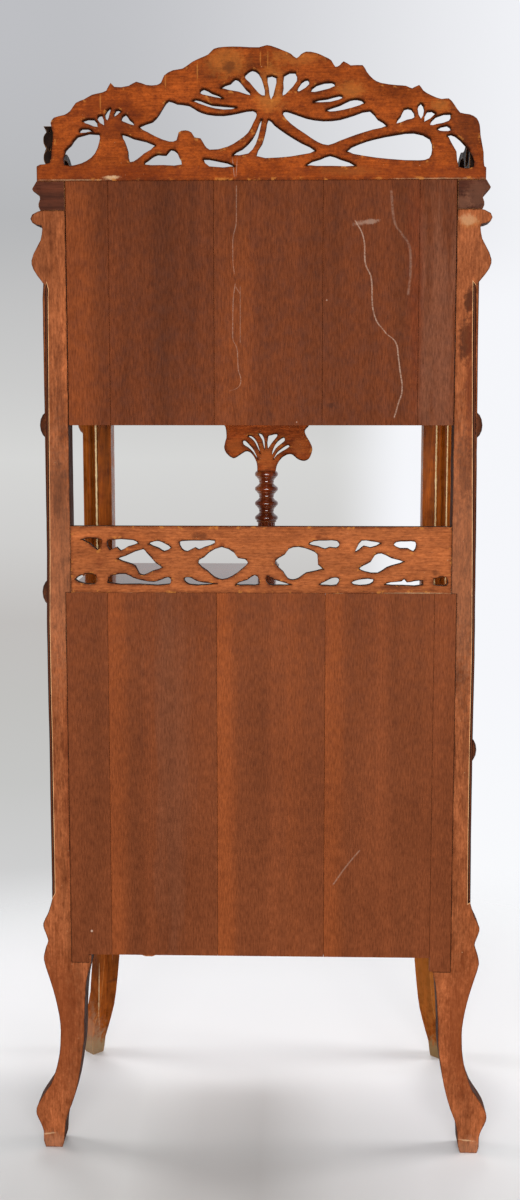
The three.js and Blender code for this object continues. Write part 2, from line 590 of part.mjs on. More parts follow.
// Low pierced galleries run forward from the crest along both sides of the top, each let into a
// groove in the top board. The shares are of their run and of their height.
const topBoardThick = 17;
const topBoardSpread = 9;
const topBoardInset = 6;
const sideCrestTall = 62;
const sideCrestThick = 14;
const sideCrestSpread = 3;
const sideCrestInset = 28;
const topBoardSpan = halfCase + topBoardSpread;
const topBoardFront = depth - topBoardInset;
const sideCrestOuter = halfCase + sideCrestSpread;
const sideCrestFront = depth - sideCrestInset;
const sideCrestShares = [
  [0, 1], [0.06, 0.97], [0.13, 0.82], [0.18, 0.66], [0.25, 0.62], [0.34, 0.7], [0.42, 0.64],
  [0.5, 0.47], [0.58, 0.44], [0.67, 0.52], [0.75, 0.47], [0.82, 0.33], [0.89, 0.33],
  [0.96, 0.42], [1, 0.34], [1, 0.12], [0.99, 0],
];
const sideCrestOpeningShares = [
  [[0.03, 0.24], [0.03, 0.62], [0.07, 0.82], [0.12, 0.6], [0.16, 0.24], [0.1, 0.18]],
  [[0.2, 0.24], [0.22, 0.44], [0.3, 0.52], [0.39, 0.5], [0.43, 0.28], [0.32, 0.18]],
  [[0.48, 0.2], [0.5, 0.32], [0.6, 0.34], [0.68, 0.38], [0.74, 0.22], [0.6, 0.16]],
  [[0.79, 0.17], [0.82, 0.23], [0.9, 0.23], [0.94, 0.2], [0.88, 0.14]],
];

function sideCrest({ sign }) {
  const under = caseTop + topBoardThick - grooveDeep;
  const run = sideCrestFront - crestThick;
  const place = ([along, up]) => at(crestThick + along * run, under + up * sideCrestTall);
  const shape = piercedShape(
    [at(crestThick, under), ...smoothLine(sideCrestShares.map(place), false, 2)],
    sideCrestOpeningShares.map((shares) => smoothLine(shares.map(place), true, 2)),
  );
  const rightFace = sign > 0 ? sideCrestOuter : sideCrestThick - sideCrestOuter;
  return sideBoard(shape, sideCrestThick, rightFace);
}

const topBoardTop = caseTop + topBoardThick;
const topBoardPlain = block(
  -topBoardSpan, topBoardSpan, crestThick, topBoardFront, caseTop, topBoardTop,
);
const sideCrestGrooves = sides.map(({ sign }) =>
  block(
    sign * (sideCrestOuter - sideCrestThick - clearance), sign * (sideCrestOuter + clearance),
    0, sideCrestFront + clearance, topBoardTop - grooveDeep, topBoardTop + grooveDeep,
  ),
);
addPiece("top_board", cut(topBoardPlain, ...sideCrestGrooves), polishedWood);
for (const side of sides) addPiece("crest_side_" + side.name, sideCrest(side), polishedWood);

// The cornice: one moulding, mitred at the front corners, round the tops of the legs. The shares
// are of its reach over the posts and of its height.
const corniceSpread = 18;
const corniceReach = halfCase + corniceSpread;
const corniceShares = [
  [0, 0], [0.76, 0], [0.81, 0.14], [0.81, 0.24], [0.76, 0.4], [0.78, 0.52], [0.86, 0.62],
  [0.96, 0.65], [1, 0.74], [0.93, 0.87], [0.86, 1], [0, 1],
];
const corniceDeep = corniceReach - rearInner;
const corniceFrontIn = depth - corniceDeep;

function corniceShape(from, sign) {
  return new THREE.Shape(
    corniceShares.map(([out, up]) => at(from + sign * out * corniceDeep, postTop + up * corniceTall)),
  );
}

// The wedge beyond the mitre line of one front corner, on its side or on its front.
function mitreWedge(sign, onFront) {
  const shift = onFront ? -clearance : 0;
  const inner = at(sign * (rearInner - corniceDeep), corniceFrontIn - corniceDeep + shift);
  const outer = at(sign * (corniceReach + corniceDeep), depth + corniceDeep + shift);
  const third = onFront
    ? at(sign * (rearInner - corniceDeep), depth + corniceDeep + shift)
    : at(sign * (corniceReach + corniceDeep), corniceFrontIn - corniceDeep + shift);
  return levelBoard([inner, outer, third], postTop - corniceTall, caseTop + corniceTall);
}

for (const side of sides) {
  const length = depth;
  const run = uprightBoard(corniceShape(side.sign * rearInner, side.sign), length, 0);
  addPiece("cornice_" + side.name, cut(run, mitreWedge(side.sign, true)), polishedWood);
}
const frontRun = sideBoard(corniceShape(corniceFrontIn, 1), 2 * corniceReach, corniceReach);
addPiece(
  "cornice_front",
  cut(frontRun, mitreWedge(-1, false), mitreWedge(1, false)),
  polishedWood,
);
const rearRailTall = 30;
const upperBackIn = upperBoardsIn + boardThick;
addPiece(
  "rear_top_rail",
  block(-rearInner, rearInner, upperBackIn, upperBackIn + railThick, caseTop - rearRailTall, caseTop),
  sawnWood,
);

// Floor of the upper tier, between two side rails that are tenoned into the posts.
const floorInset = 16;
const upperRailTall = 35;
const floorFront = depth - floorInset;
const upperRailTop = upperFloorUnder + upperRailTall;

function floorPlan(rearIn, rearSpan, frontIn) {
  const half = [
    at(rearSpan, rearIn),
    at(rearSpan, rearPostDepth),
    at(railInner, rearPostDepth),
    at(railInner, frontPostIn),
    at(frontInner, frontPostIn),
    at(frontInner, frontIn),
  ];
  return [...half, ...half.map((p) => at(-p.x, p.y)).reverse()];
}

addPiece(
  "upper_floor",
  levelBoard(floorPlan(upperBackIn, railInner, floorFront), upperFloorUnder, upperFloorUnder + floorThick),
  polishedWood,
);
for (const { name, sign } of sides) {
  const outer = railInner + railThick;
  const rail = block(
    sign * railInner, sign * outer, rearPostDepth, frontPostIn, upperFloorUnder, upperRailTop,
  );
  addPiece("upper_side_rail_" + name, rail, polishedWood);
}

// A flat bracket under the upper floor, sawn to two lobes and pierced with a fan of six slits.
// It stands on the turned column. The shares are of its half width and of its height.
const bracketSpan = 75;
const bracketTall = 79;
const bracketThick = 20;
const shelfFrontStep = 13;
const columnInset = 20;
const bracketUnder = upperFloorUnder - bracketTall;
const shelfFront = frontPostIn + shelfFrontStep;
const columnIn = shelfFront - columnInset;
const bracketShares = [
  [0.96, 1], [0.89, 0.91], [0.87, 0.77], [0.87, 0.69], [0.92, 0.5], [0.87, 0.37], [0.72, 0.266],
  [0.63, 0.3], [0.47, 0.4], [0.41, 0.41], [0.34, 0.38], [0.27, 0.3], [0.22, 0.2], [0.2, 0.1],
  [0.2, 0],
];
const bracketFarShares = [
  [-0.2, 0], [-0.22, 0.1], [-0.27, 0.2], [-0.34, 0.28], [-0.42, 0.33], [-0.5, 0.354],
  [-0.57, 0.34], [-0.66, 0.266], [-0.74, 0.228], [-0.83, 0.215], [-0.91, 0.25], [-0.96, 0.32],
  [-0.995, 0.43], [-0.995, 0.49], [-0.95, 0.59], [-0.89, 0.69], [-0.84, 0.78], [-0.84, 0.85],
  [-0.9, 0.91], [-0.96, 1],
];
const bracketSlitShares = [
  [[0.51, 0.62], [0.46, 0.625], [0.37, 0.54], [0.27, 0.43], [0.19, 0.25], [0.29, 0.39],
    [0.4, 0.49], [0.5, 0.55]],
  [[0.39, 0.72], [0.33, 0.72], [0.25, 0.66], [0.19, 0.56], [0.14, 0.38], [0.24, 0.58],
    [0.31, 0.66]],
  [[0.17, 0.77], [0.11, 0.76], [0.06, 0.69], [0.04, 0.6], [0.04, 0.44], [0.09, 0.64]],
  [[-0.04, 0.72], [-0.1, 0.74], [-0.23, 0.76], [-0.23, 0.72], [-0.16, 0.64], [-0.09, 0.55],
    [-0.03, 0.47]],
  [[-0.14, 0.44], [-0.19, 0.54], [-0.26, 0.62], [-0.38, 0.69], [-0.4, 0.64], [-0.31, 0.56],
    [-0.2, 0.47], [-0.12, 0.34]],
  [[-0.18, 0.3], [-0.24, 0.39], [-0.33, 0.46], [-0.47, 0.54], [-0.5, 0.51], [-0.34, 0.41],
    [-0.22, 0.33], [-0.16, 0.26]],
];
const onBracket = ([across, up]) => at(across * bracketSpan, bracketUnder + up * bracketTall);
const bracketShape = piercedShape(
  [
    ...smoothLine(bracketShares.map(onBracket), false, 2),
    ...smoothLine(bracketFarShares.map(onBracket), false, 2),
  ],
  bracketSlitShares.map((shares) => smoothLine(shares.map(onBracket), true, 2)),
);
addPiece(
  "capital_bracket",
  uprightBoard(bracketShape, bracketThick, columnIn - bracketThick / 2),
  sawnWood,
);

// The ringed column: one turning with four sharp rings, a thin flange, a reeded shaft and a round
// foot that is let into the high shelf. The shares of a ring are of the pitch, from its middle,
// and of its height over the neck, which has a bead halfway to the next ring.
const ringRadius = 19;
const neckRadius = 10.8;
const ringPitch = 23.8;
const ringCount = 4;
const columnSideCount = 24;
const flangeRadius = 16.4;
const flangeTall = 2.4;
const reedCount = 16;
const stepsPerShaftReed = 4;
const reedValleyRadius = 12.7;
const reedStandOut = 1.6;
const shaftCoreRadius = 12;
const footRadius = 18.9;
const footTall = 7;
const footHousing = 2;
const flatEndShare = 0.84;
const ringShares = [
  [0, 1], [0.07, 0.95], [0.13, 0.78], [0.3, 0.17], [0.35, 0.04], [0.4, 0.14], [0.46, 0.2],
];
const lastRingShares = [[0, 1], [-0.07, 0.95], [-0.13, 0.78], [-0.2, 0.5]];
const footShares = [
  [1, 0], [1, 0.36], [0.99, 0.6], [0.95, 0.78], [0.86, 0.9], [0.72, 1],
];
const columnUnder = highShelfTop - footHousing;
const columnFootTop = highShelfTop + footTall;
const firstRing = bracketUnder - flangeTall * 2;

function columnProfile() {
  const ringOut = (out) => neckRadius + out * (ringRadius - neckRadius);
  const profile = [at(0, bracketUnder), at(ringRadius * flatEndShare, bracketUnder)];
  let middle = firstRing;
  for (let ring = 0; ring < ringCount; ring++) {
    const up = ring > 0 ? ringShares.slice(1).reverse() : ringShares.slice(1, 2);
    const down = ring < ringCount - 1 ? ringShares.map(([rise, out]) => [-rise, out]) : lastRingShares;
    for (const [rise, out] of [...up, ...down]) {
      profile.push(at(ringOut(out), middle + rise * ringPitch));
    }
    middle -= ringPitch;
  }
  const flangeTop = profile[profile.length - 1].y;
  const flangeUnder = flangeTop - flangeTall;
  profile.push(at(flangeRadius, flangeTop), at(flangeRadius, flangeUnder));
  profile.push(at(shaftCoreRadius, flangeUnder), at(shaftCoreRadius, columnFootTop));
  for (const [out, up] of [...footShares].reverse()) {
    profile.push(at(footRadius * out, columnUnder + up * (columnFootTop - columnUnder)));
  }
  profile.push(at(0, columnUnder));
  return { line: profile.reverse(), flangeUnder };
}

const { line: columnLine, flangeUnder } = columnProfile();
const turning = new THREE.LatheGeometry(columnLine, columnSideCount).rotateX(Math.PI / 2);
const reededPlan = [];
for (let step = 0; step < reedCount * stepsPerShaftReed; step++) {
  const turn = (2 * Math.PI * step) / (reedCount * stepsPerShaftReed);
  const bulge = Math.abs(Math.sin((Math.PI * step) / stepsPerShaftReed));
  const radius = reedValleyRadius + reedStandOut * bulge;
  reededPlan.push(at(radius * Math.cos(turn), rearY + radius * Math.sin(turn)));
}
const reededShaft = levelBoard(
  reededPlan, columnFootTop - clearance, flangeUnder + clearance,
);
addPiece(
  "ringed_column",
  join(turning, reededShaft).translate(0, rearY - columnIn, 0),
  turnedWood,
);

// Shelves of the lower tier: a high one on the right, which carries the column, and a low one on
// the left, with a partition between them whose front edge is reeded and whose foot is let into a
// groove in the base board.
const partitionLeft = -12;
const partitionThick = 18;
const edgeWidth = 26;
const edgeDeep = 16;
const edgeInset = 8;
const highShelfLap = 9;
const partitionFront = shelfFront - edgeInset - edgeDeep;
const highShelfEnd = partitionLeft - highShelfLap;
const partitionRight = partitionLeft + partitionThick;
const highShelfUnder = highShelfTop - shelfThick;
const lowShelfUnder = lowShelfTop - shelfThick;

function shelfPlan(sign, end, rearIn) {
  return [
    at(end, rearIn),
    at(sign * railInner, rearIn),
    at(sign * railInner, rearPostDepth),
    at(sign * (railInner + shelfThick), rearPostDepth),
    at(sign * (railInner + shelfThick), frontPostIn),
    at(sign * frontInner, frontPostIn),
    at(sign * frontInner, shelfFront),
    at(end, shelfFront),
  ];
}

const columnHousing = new THREE.CylinderGeometry(
  footRadius + clearance, footRadius + clearance, 2 * footHousing, columnSideCount,
);
columnHousing.rotateX(Math.PI / 2).translate(0, rearY - columnIn, highShelfTop);
const highShelfPlain = levelBoard(
  shelfPlan(1, highShelfEnd, galleryThick), highShelfUnder, highShelfTop,
);
addPiece("high_shelf", cut(highShelfPlain, columnHousing), polishedWood);
const lowShelf = cut(
  levelBoard(shelfPlan(-1, partitionLeft, boardThick), lowShelfUnder, lowShelfTop),
  block(
    partitionLeft - edgeWidth, partitionLeft, partitionFront - clearance,
    partitionFront + edgeDeep + clearance, lowShelfUnder - shelfThick, lowShelfTop + shelfThick,
  ),
);
addPiece("low_shelf", lowShelf, polishedWood);
const partitionUnder = baseBoardTop - grooveDeep;
addPiece(
  "partition",
  block(partitionLeft, partitionRight, boardThick, partitionFront, partitionUnder, highShelfUnder),
  polishedWood,
);
const edgeLeft = partitionLeft - (edgeWidth - partitionThick) / 2;
const edgePlan = [
  at(edgeLeft, partitionFront),
  at(edgeLeft + edgeWidth, partitionFront),
  ...reedsAlong(
    at(edgeLeft + edgeWidth, partitionFront + edgeDeep - edgeWidth / 8),
    at(edgeLeft, partitionFront + edgeDeep - edgeWidth / 8), 4, 6,
  ),
  at(edgeLeft, partitionFront + edgeDeep - edgeWidth / 8),
];
addPiece("partition_edge", levelBoard(edgePlan, partitionUnder, highShelfUnder), polishedWood);

const bearerTall = 18;
for (const { name, sign } of sides) {
  const top = sign > 0 ? highShelfUnder : lowShelfUnder;
  const bearer = block(
    sign * railInner, sign * (railInner + shelfThick), rearPostDepth, frontPostIn,
    top - bearerTall, top,
  );
  addPiece("shelf_bearer_" + name, bearer, polishedWood);
}

// The base: a grooved board between two side aprons, with a shaped apron and glue blocks under it.
const kneeInner = rearInner - rearPostWidth * kneeWidthShare;
const grooveTop = baseBoardTop + grooveDeep;
const partitionGroove = block(
  partitionLeft - clearance, partitionRight + clearance, 0, partitionFront, partitionUnder, grooveTop,
);
const edgeGroove = block(
  edgeLeft - clearance, edgeLeft + edgeWidth + clearance, partitionFront - clearance,
  partitionFront + edgeDeep + clearance, partitionUnder, grooveTop,
);
addPiece(
  "base_board",
  cut(
    levelBoard(floorPlan(boardThick, kneeInner, floorFront), baseBoardUnder, baseBoardTop),
    partitionGroove, edgeGroove,
  ),
  polishedWood,
);
const apronTall = 90;
const apronRise = 17;
const apronStep = 11;
const sideApronTop = baseBoardTop + apronRise;
const apronIn = frontPostIn + apronStep;
const sideApronShares = [
  [0, 1], [0, 0], [0.05, 0.02], [0.1, 0.22], [0.18, 0.42], [0.3, 0.58], [0.5, 0.66],
  [0.7, 0.58], [0.82, 0.42], [0.9, 0.22], [0.95, 0.02], [1, 0], [1, 1],
];
const frontApronShares = [
  [1, 1], [1, 0.02], [0.95, 0], [0.9, 0.1], [0.82, 0.34], [0.66, 0.5], [0.46, 0.56],
  [0.28, 0.5], [0.14, 0.36], [0.05, 0.3], [0, 0.28],
];
for (const { name, sign } of sides) {
  const run = frontPostIn - rearPostDepth;
  const under = sideApronTop - apronTall;
  const shape = new THREE.Shape(
    sideApronShares.map(([along, up]) => at(rearPostDepth + along * run, under + up * apronTall)),
  );
  const rightFace = sign > 0 ? railInner + railThick : -railInner;
  addPiece("side_apron_" + name, sideBoard(shape, railThick, rightFace), polishedWood);
}
const apronRight = frontApronShares.map(([across, up]) =>
  at(across * frontInner, footTop + up * (baseBoardUnder - footTop)),
);
const apronLeft = apronRight.slice(0, -1).map((p) => at(-p.x, p.y)).reverse();
addPiece(
  "front_apron",
  uprightBoard(new THREE.Shape([...apronRight, ...apronLeft]), railThick, apronIn),
  polishedWood,
);
const glueBlock = 18;
const glueBlockLong = 27;
const glueBlockPlace = 0.51;
const glueBlockInner = halfCase * glueBlockPlace;
const glueBlockShares = [
  [0, 1], [0, 0.42], [0.06, 0.22], [0.17, 0.08], [0.34, 0], [0.66, 0], [0.83, 0.08],
  [0.94, 0.22], [1, 0.42], [1, 1],
];

// A glue block with its lower corners rounded off.
function glueBlockPiece(sign, inFrom) {
  const points = glueBlockShares.map(([across, up]) =>
    at(sign * (glueBlockInner + across * glueBlockLong), baseBoardUnder - glueBlock + up * glueBlock),
  );
  return uprightBoard(new THREE.Shape(points), glueBlock, inFrom);
}

addPiece("glue_block_rear", glueBlockPiece(1, boardThick), sawnWood);
for (const { name, sign } of sides) {
  addPiece("glue_block_front_" + name, glueBlockPiece(sign, apronIn - glueBlock), sawnWood);
}

export default etagere;
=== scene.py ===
import math

import bmesh
import bpy
from mathutils import Matrix, Vector, kdtree, noise


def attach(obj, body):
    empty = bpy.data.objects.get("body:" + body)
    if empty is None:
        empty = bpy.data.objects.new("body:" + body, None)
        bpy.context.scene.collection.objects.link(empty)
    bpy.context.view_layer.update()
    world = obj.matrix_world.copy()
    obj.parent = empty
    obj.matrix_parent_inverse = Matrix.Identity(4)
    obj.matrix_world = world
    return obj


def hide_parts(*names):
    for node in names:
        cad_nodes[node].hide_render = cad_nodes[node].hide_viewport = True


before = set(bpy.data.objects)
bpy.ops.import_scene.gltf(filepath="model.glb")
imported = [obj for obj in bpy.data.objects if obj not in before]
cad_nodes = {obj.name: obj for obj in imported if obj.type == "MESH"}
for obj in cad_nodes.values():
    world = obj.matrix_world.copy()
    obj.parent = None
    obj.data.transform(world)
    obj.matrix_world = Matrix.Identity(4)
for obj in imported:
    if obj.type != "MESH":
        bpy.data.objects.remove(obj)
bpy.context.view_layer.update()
scene = bpy.context.scene
scene.view_settings.view_transform = "Standard"

# The studio: a pale floor and plain soft daylight, seen from behind the etagere by a camera at
# about 1.1 metres, which looks a little downwards.
long_side_mm = 36
photo_lens_mm = 45.23
camera_place = (-0.0641, 2.3425, 1.1119)
camera_tilt = -0.1288
camera_turn = 0.0302
camera_data = bpy.data.cameras.new("studio_camera")
camera_data.sensor_width = long_side_mm
camera_data.lens = photo_lens_mm
camera = bpy.data.objects.new("studio_camera", camera_data)
camera.location = camera_place
camera.rotation_euler = (math.pi / 2 + camera_tilt, 0, math.pi + camera_turn)
scene.collection.objects.link(camera)
scene.camera = camera


def soft_lamp(name, place, aim, width, height, power, mirrored=True):
    lamp_data = bpy.data.lights.new(name, "AREA")
    lamp_data.shape = "RECTANGLE"
    lamp_data.size = width
    lamp_data.size_y = height
    lamp_data.energy = power
    lamp = bpy.data.objects.new(name, lamp_data)
    lamp.location = place
    direction = Vector(aim) - Vector(place)
    lamp.rotation_euler = direction.to_track_quat("-Z", "Y").to_euler()
    lamp.visible_camera = False
    lamp.visible_glossy = mirrored
    scene.collection.objects.link(lamp)


soft_lamp("key_window", (-0.1, 3.0, 1.1), (0, 0.1, 0.95), width=1.9, height=0.9, power=86)
soft_lamp(
    "left_window", (2.4, -0.5, 1.1), (0, 0, 0.3), width=0.9, height=1.2, power=27, mirrored=False
)
soft_lamp(
    "right_window", (-2.4, -0.2, 1.1), (0, 0, 0.3), width=0.9, height=1.2, power=31, mirrored=False
)
soft_lamp(
    "far_window", (0.3, -2.2, 2.9), (0, 0, 0.5), width=2.2, height=1.6, power=62, mirrored=False
)


class Finish:
    """One finish: a material and the patterns that are laid over each other in it."""

    def __init__(self, name):
        self.material = bpy.data.materials.new(name)
        self.open_tree(self.material)

    def open_tree(self, owner):
        owner.use_nodes = True
        self.tree = owner.node_tree
        self.tree.nodes.clear()

    def put(self, kind, inputs=(), **settings):
        node = self.tree.nodes.new(kind)
        for key, value in settings.items():
            setattr(node, key, value)
        for key, value in dict(inputs).items():
            if isinstance(value, bpy.types.NodeSocket):
                self.tree.links.new(value, node.inputs[key])
            else:
                node.inputs[key].default_value = value
        return node

    def sum(self, operation, first, second=0.0, third=0.0):
        inputs = {0: first, 1: second, 2: third}
        return self.put("ShaderNodeMath", inputs, operation=operation).outputs[0]

    def ease(self, value, low, high, first=0.0, last=1.0):
        node = self.put(
            "ShaderNodeMapRange",
            {"Value": value, "From Min": low, "From Max": high, "To Min": first, "To Max": last},
            interpolation_type="SMOOTHSTEP",
        )
        return node.outputs["Result"]

    def blend(self, share, under, over, way="MIX"):
        inputs = {0: share, 6: under, 7: over}
        return self.put("ShaderNodeMix", inputs, data_type="RGBA", blend_type=way).outputs[2]

    def tones(self, value, stops):
        node = self.put("ShaderNodeValToRGB", {"Fac": value})
        ramp = node.color_ramp
        while len(ramp.elements) < len(stops):
            ramp.elements.new(1.0)
        for element, (place, colour) in zip(ramp.elements, stops):
            element.position = place
            element.color = colour
        return node.outputs["Color"]

    def places(self):
        return self.put("ShaderNodeTexCoord").outputs["Object"]

    def facing(self):
        return self.put("ShaderNodeNewGeometry").outputs["Normal"]

    def layer(self, name):
        return self.put("ShaderNodeAttribute", attribute_name=name).outputs["Fac"]

    def along(self, stretch):
        node = self.put("ShaderNodeMapping", {"Vector": self.places(), "Scale": stretch})
        return node.outputs["Vector"]

    def noise(self, vector, scale, detail=2.0, roughness=0.5, distortion=0.0):
        node = self.put(
            "ShaderNodeTexNoise",
            {"Vector": vector, "Scale": scale, "Detail": detail, "Roughness": roughness,
             "Distortion": distortion},
        )
        return node.outputs["Fac"]

    def axes(self, vector):
        node = self.put("ShaderNodeSeparateXYZ", {"Vector": vector})
        return node.outputs["X"], node.outputs["Y"], node.outputs["Z"]

    def close(self, tone, roughness, height, relief, shine):
        """Ends a material. relief is the strength and depth of its bumps, and shine holds the
        constant values of the surface."""
        strength, depth = relief
        bump = self.put(
            "ShaderNodeBump", {"Strength": strength, "Distance": depth, "Height": height}
        )
        face = self.put(
            "ShaderNodeBsdfPrincipled",
            {"Base Color": tone, "Roughness": roughness, "Normal": bump.outputs[0], **shine},
        )
        self.put("ShaderNodeOutputMaterial", {"Surface": face.outputs[0]})
        return self.material


def colour_of(red, green, blue):
    """A colour written in 0 to 255, as a screen shows it."""
    def light(value):
        share = value / 255
        return share / 12.92 if share <= 0.04045 else ((share + 0.055) / 1.055) ** 2.4
    return (light(red), light(green), light(blue), 1.0)


# What the camera and shiny faces see behind the object: pale grey, lighter to one side and near
# the floor. Everything else gets an even light. Shiny faces that look back past the camera see
# the dim end of the room.
room = Finish("room")
scene.world = bpy.data.worlds.new("room")
room.open_tree(scene.world)
look = room.put("ShaderNodeTexCoord").outputs["Generated"]
look_x, look_y, look_z = room.axes(look)
low_look, high_look = -0.42, 0.25
look_up = room.ease(look_z, low_look, high_look)
left_grey = room.tones(
    look_up,
    [(0.0, colour_of(246, 247, 249)), (0.036, colour_of(226, 227, 228)),
     (0.09, colour_of(202, 202, 202)), (0.17, colour_of(192, 192, 190)),
     (0.27, colour_of(188, 187, 184)), (0.375, colour_of(187, 184, 181)),
     (0.49, colour_of(203, 202, 200)), (0.61, colour_of(211, 211, 209)),
     (0.72, colour_of(198, 198, 197)), (0.82, colour_of(188, 188, 188)),
     (0.9, colour_of(182, 183, 185)), (1.0, colour_of(190, 191, 195))],
)
right_grey = room.tones(
    look_up,
    [(0.0, colour_of(250, 251, 253)), (0.3, colour_of(246, 247, 251)),
     (1.0, colour_of(245, 246, 250))],
)
wide_share = room.ease(look_x, 0.16, -0.2)
low_share = room.ease(look_x, -0.012, -0.07, 0.08, 1.0)
is_low = room.ease(look_up, 0.9, 0.8)
right_share = room.sum(
    "MULTIPLY_ADD", is_low, room.sum("SUBTRACT", low_share, wide_share), wide_share
)
backdrop = room.blend(right_share, left_grey, right_grey)
seen = room.put("ShaderNodeLightPath")
mirrored = room.sum("MAXIMUM", seen.outputs["Is Glossy Ray"], seen.outputs["Is Transmission Ray"])
dim_end = room.sum("MULTIPLY", mirrored, room.ease(look_y, -0.1, 0.5))
shown_colour = room.blend(dim_end, backdrop, colour_of(88, 88, 90))
is_seen = room.sum("MAXIMUM", seen.outputs["Is Camera Ray"], mirrored)
even_light = 0.27
plain_light = room.put("ShaderNodeBackground", {"Color": (1, 1, 1, 1), "Strength": even_light})
shown_light = room.put("ShaderNodeBackground", {"Color": shown_colour, "Strength": 1.0})
both = room.put(
    "ShaderNodeMixShader",
    {0: is_seen, 1: plain_light.outputs[0], 2: shown_light.outputs[0]},
)
room.put("ShaderNodeOutputWorld", {"Surface": both.outputs[0]})

# The floor: a plain round sheet that keeps the shadow of the feet. It fades into the room beyond
# them. Its tone is painted a little darker at both ends, most towards the camera, as painted shade,
# and its half behind the etagere carries a painted shadow, darkest in the middle.
floor_radius = 1.6
floor_fade = (0.55, 1.35)
floor_roughness = 0.8
floor_gloss = 0.2
floor_mesh = bpy.data.meshes.new("floor")
bm = bmesh.new()
bmesh.ops.create_circle(bm, cap_ends=True, segments=96, radius=floor_radius)
bm.to_mesh(floor_mesh)
bm.free()
floor = bpy.data.objects.new("floor", floor_mesh)
scene.collection.objects.link(floor)
studio_floor = Finish("studio_floor")
floor_x, floor_y, _ = studio_floor.axes(studio_floor.places())
# Painted shade: the tone is a little darker at both ends of the floor, most towards the camera.
floor_tone = studio_floor.tones(
    studio_floor.ease(floor_y, -0.45, 0.5),
    [(0.0, colour_of(230, 230, 232)), (0.5, colour_of(236, 236, 237)),
     (0.8, colour_of(236, 236, 236)), (1.0, colour_of(224, 223, 222))],
)
# A painted shadow on the half behind the etagere, darkest in the middle.
across = studio_floor.sum("MULTIPLY_ADD", floor_x, -1.25, 0.5)
painted_floor_shadow = studio_floor.tones(
    across,
    [(0.06, (0.76, 0.76, 0.76, 1)), (0.26, (0.87, 0.87, 0.86, 1)), (0.38, (0.73, 0.72, 0.71, 1)),
     (0.5, (0.66, 0.65, 0.64, 1)), (0.64, (0.89, 0.89, 0.89, 1)), (0.8, (1.02, 1.02, 1.03, 1))],
)
near_floor = studio_floor.ease(floor_y, -0.12, 0.04)
floor_tone = studio_floor.blend(near_floor, floor_tone, painted_floor_shadow, "MULTIPLY")
reach = studio_floor.sum(
    "SQRT",
    studio_floor.sum(
        "ADD", studio_floor.sum("POWER", floor_x, 2.0), studio_floor.sum("POWER", floor_y, 2.0)
    ),
)
floor_face = studio_floor.put(
    "ShaderNodeBsdfPrincipled",
    {"Base Color": floor_tone, "Roughness": floor_roughness, "Specular IOR Level": floor_gloss},
)
beyond = studio_floor.put("ShaderNodeBsdfTransparent")
floor_mix = studio_floor.put(
    "ShaderNodeMixShader",
    {0: studio_floor.ease(reach, *floor_fade), 1: floor_face.outputs[0], 2: beyond.outputs[0]},
)
studio_floor.put("ShaderNodeOutputMaterial", {"Surface": floor_mix.outputs[0]})
floor_mesh.materials.append(studio_floor.material)

# The rear legs: long sawn posts of walnut, each from a cabriole foot to a leaf under the cornice.
# Their rear faces are raw and have gone orange brown, with dirt and painted shade on every sawn
# wall and arris and a painted shade along each outer rim, and the toes are worn pale.
upright_grain = (1.0, 1.0, 0.07)
level_grain = (0.07, 1.0, 1.0)
# Near-black dirt, for pores, and also the painted shade on walls, inner corners and under
# overhangs.
dirt_and_shade = colour_of(38, 15, 6)
pale_wear = colour_of(205, 168, 128)
# Dark brown near the rear outline: grime, and painted shade of a rounded edge.
edge_dirt_and_shade = colour_of(82, 34, 14)
raw_gloss = 0.05
# The rim of a rear post: a worn pale line at the rear arris, then dark painted shade where the post
# turns round to its side.
rim_shade_tones = [
    (0.0, colour_of(214, 160, 112)), (0.18, colour_of(214, 160, 112)), (0.23, colour_of(34, 15, 8)),
    (0.48, colour_of(38, 17, 9)), (0.58, colour_of(96, 50, 29)), (0.7, colour_of(96, 50, 29)),
    (0.8, colour_of(36, 16, 9)), (1.0, colour_of(24, 10, 5)),
]
mark_depth = 1000.0
mark_core, mark_rim = 1.75, 2.6
sharp_turn, plain_turn = 0.86, 0.999
raw_relief = (0.5, 0.0008)


def mark(wood, ragged, x, z, half_wide, half_tall, lean=0.0):
    """A soft ragged patch on a rear or front face: 1 in its middle and 0 outside."""
    place = wood.put(
        "ShaderNodeMapping",
        {"Vector": wood.places(), "Location": (x, 0, z), "Rotation": (0, math.radians(lean), 0),
         "Scale": (half_wide, mark_depth, half_tall)},
        vector_type="TEXTURE",
    )
    away = wood.put("ShaderNodeVectorMath", {0: place.outputs[0]}, operation="LENGTH")
    edge = wood.sum("MULTIPLY_ADD", ragged, mark_rim, away.outputs["Value"])
    return wood.ease(edge, mark_rim, mark_core)


def lay_marks(wood, tone, marks):
    """Lays marks over a tone. Each has its colour, its strength, and its place: x and z of its
    middle, half its width and half its height in metres, and its lean in degrees."""
    ragged = wood.noise(wood.places(), scale=120, detail=6, roughness=0.75)
    for colour, strength, place in marks:
        share = wood.sum("MULTIPLY", mark(wood, ragged, *place), strength)
        tone = wood.blend(share, tone, colour)
    return tone


def lay_shades(wood, tone, shades):
    """Patterns that darken and lighten the tone under them. Each has its places and two shades."""
    for pattern, low, high, dark, light in shades:
        shade = wood.tones(pattern, [(low, dark), (0.5, (1, 1, 1, 1)), (high, light)])
        tone = wood.blend(1.0, tone, shade, "MULTIPLY")
    return tone


def arris_share(wood, reach):
    """1 at a sharp arris, 0 away from it."""
    eased = wood.put("ShaderNodeBevel", {"Radius": reach}, samples=4).outputs[0]
    flat = wood.put("ShaderNodeVectorMath", {0: eased, 1: wood.facing()}, operation="DOT_PRODUCT")
    return wood.ease(flat.outputs["Value"], plain_turn, sharp_turn)


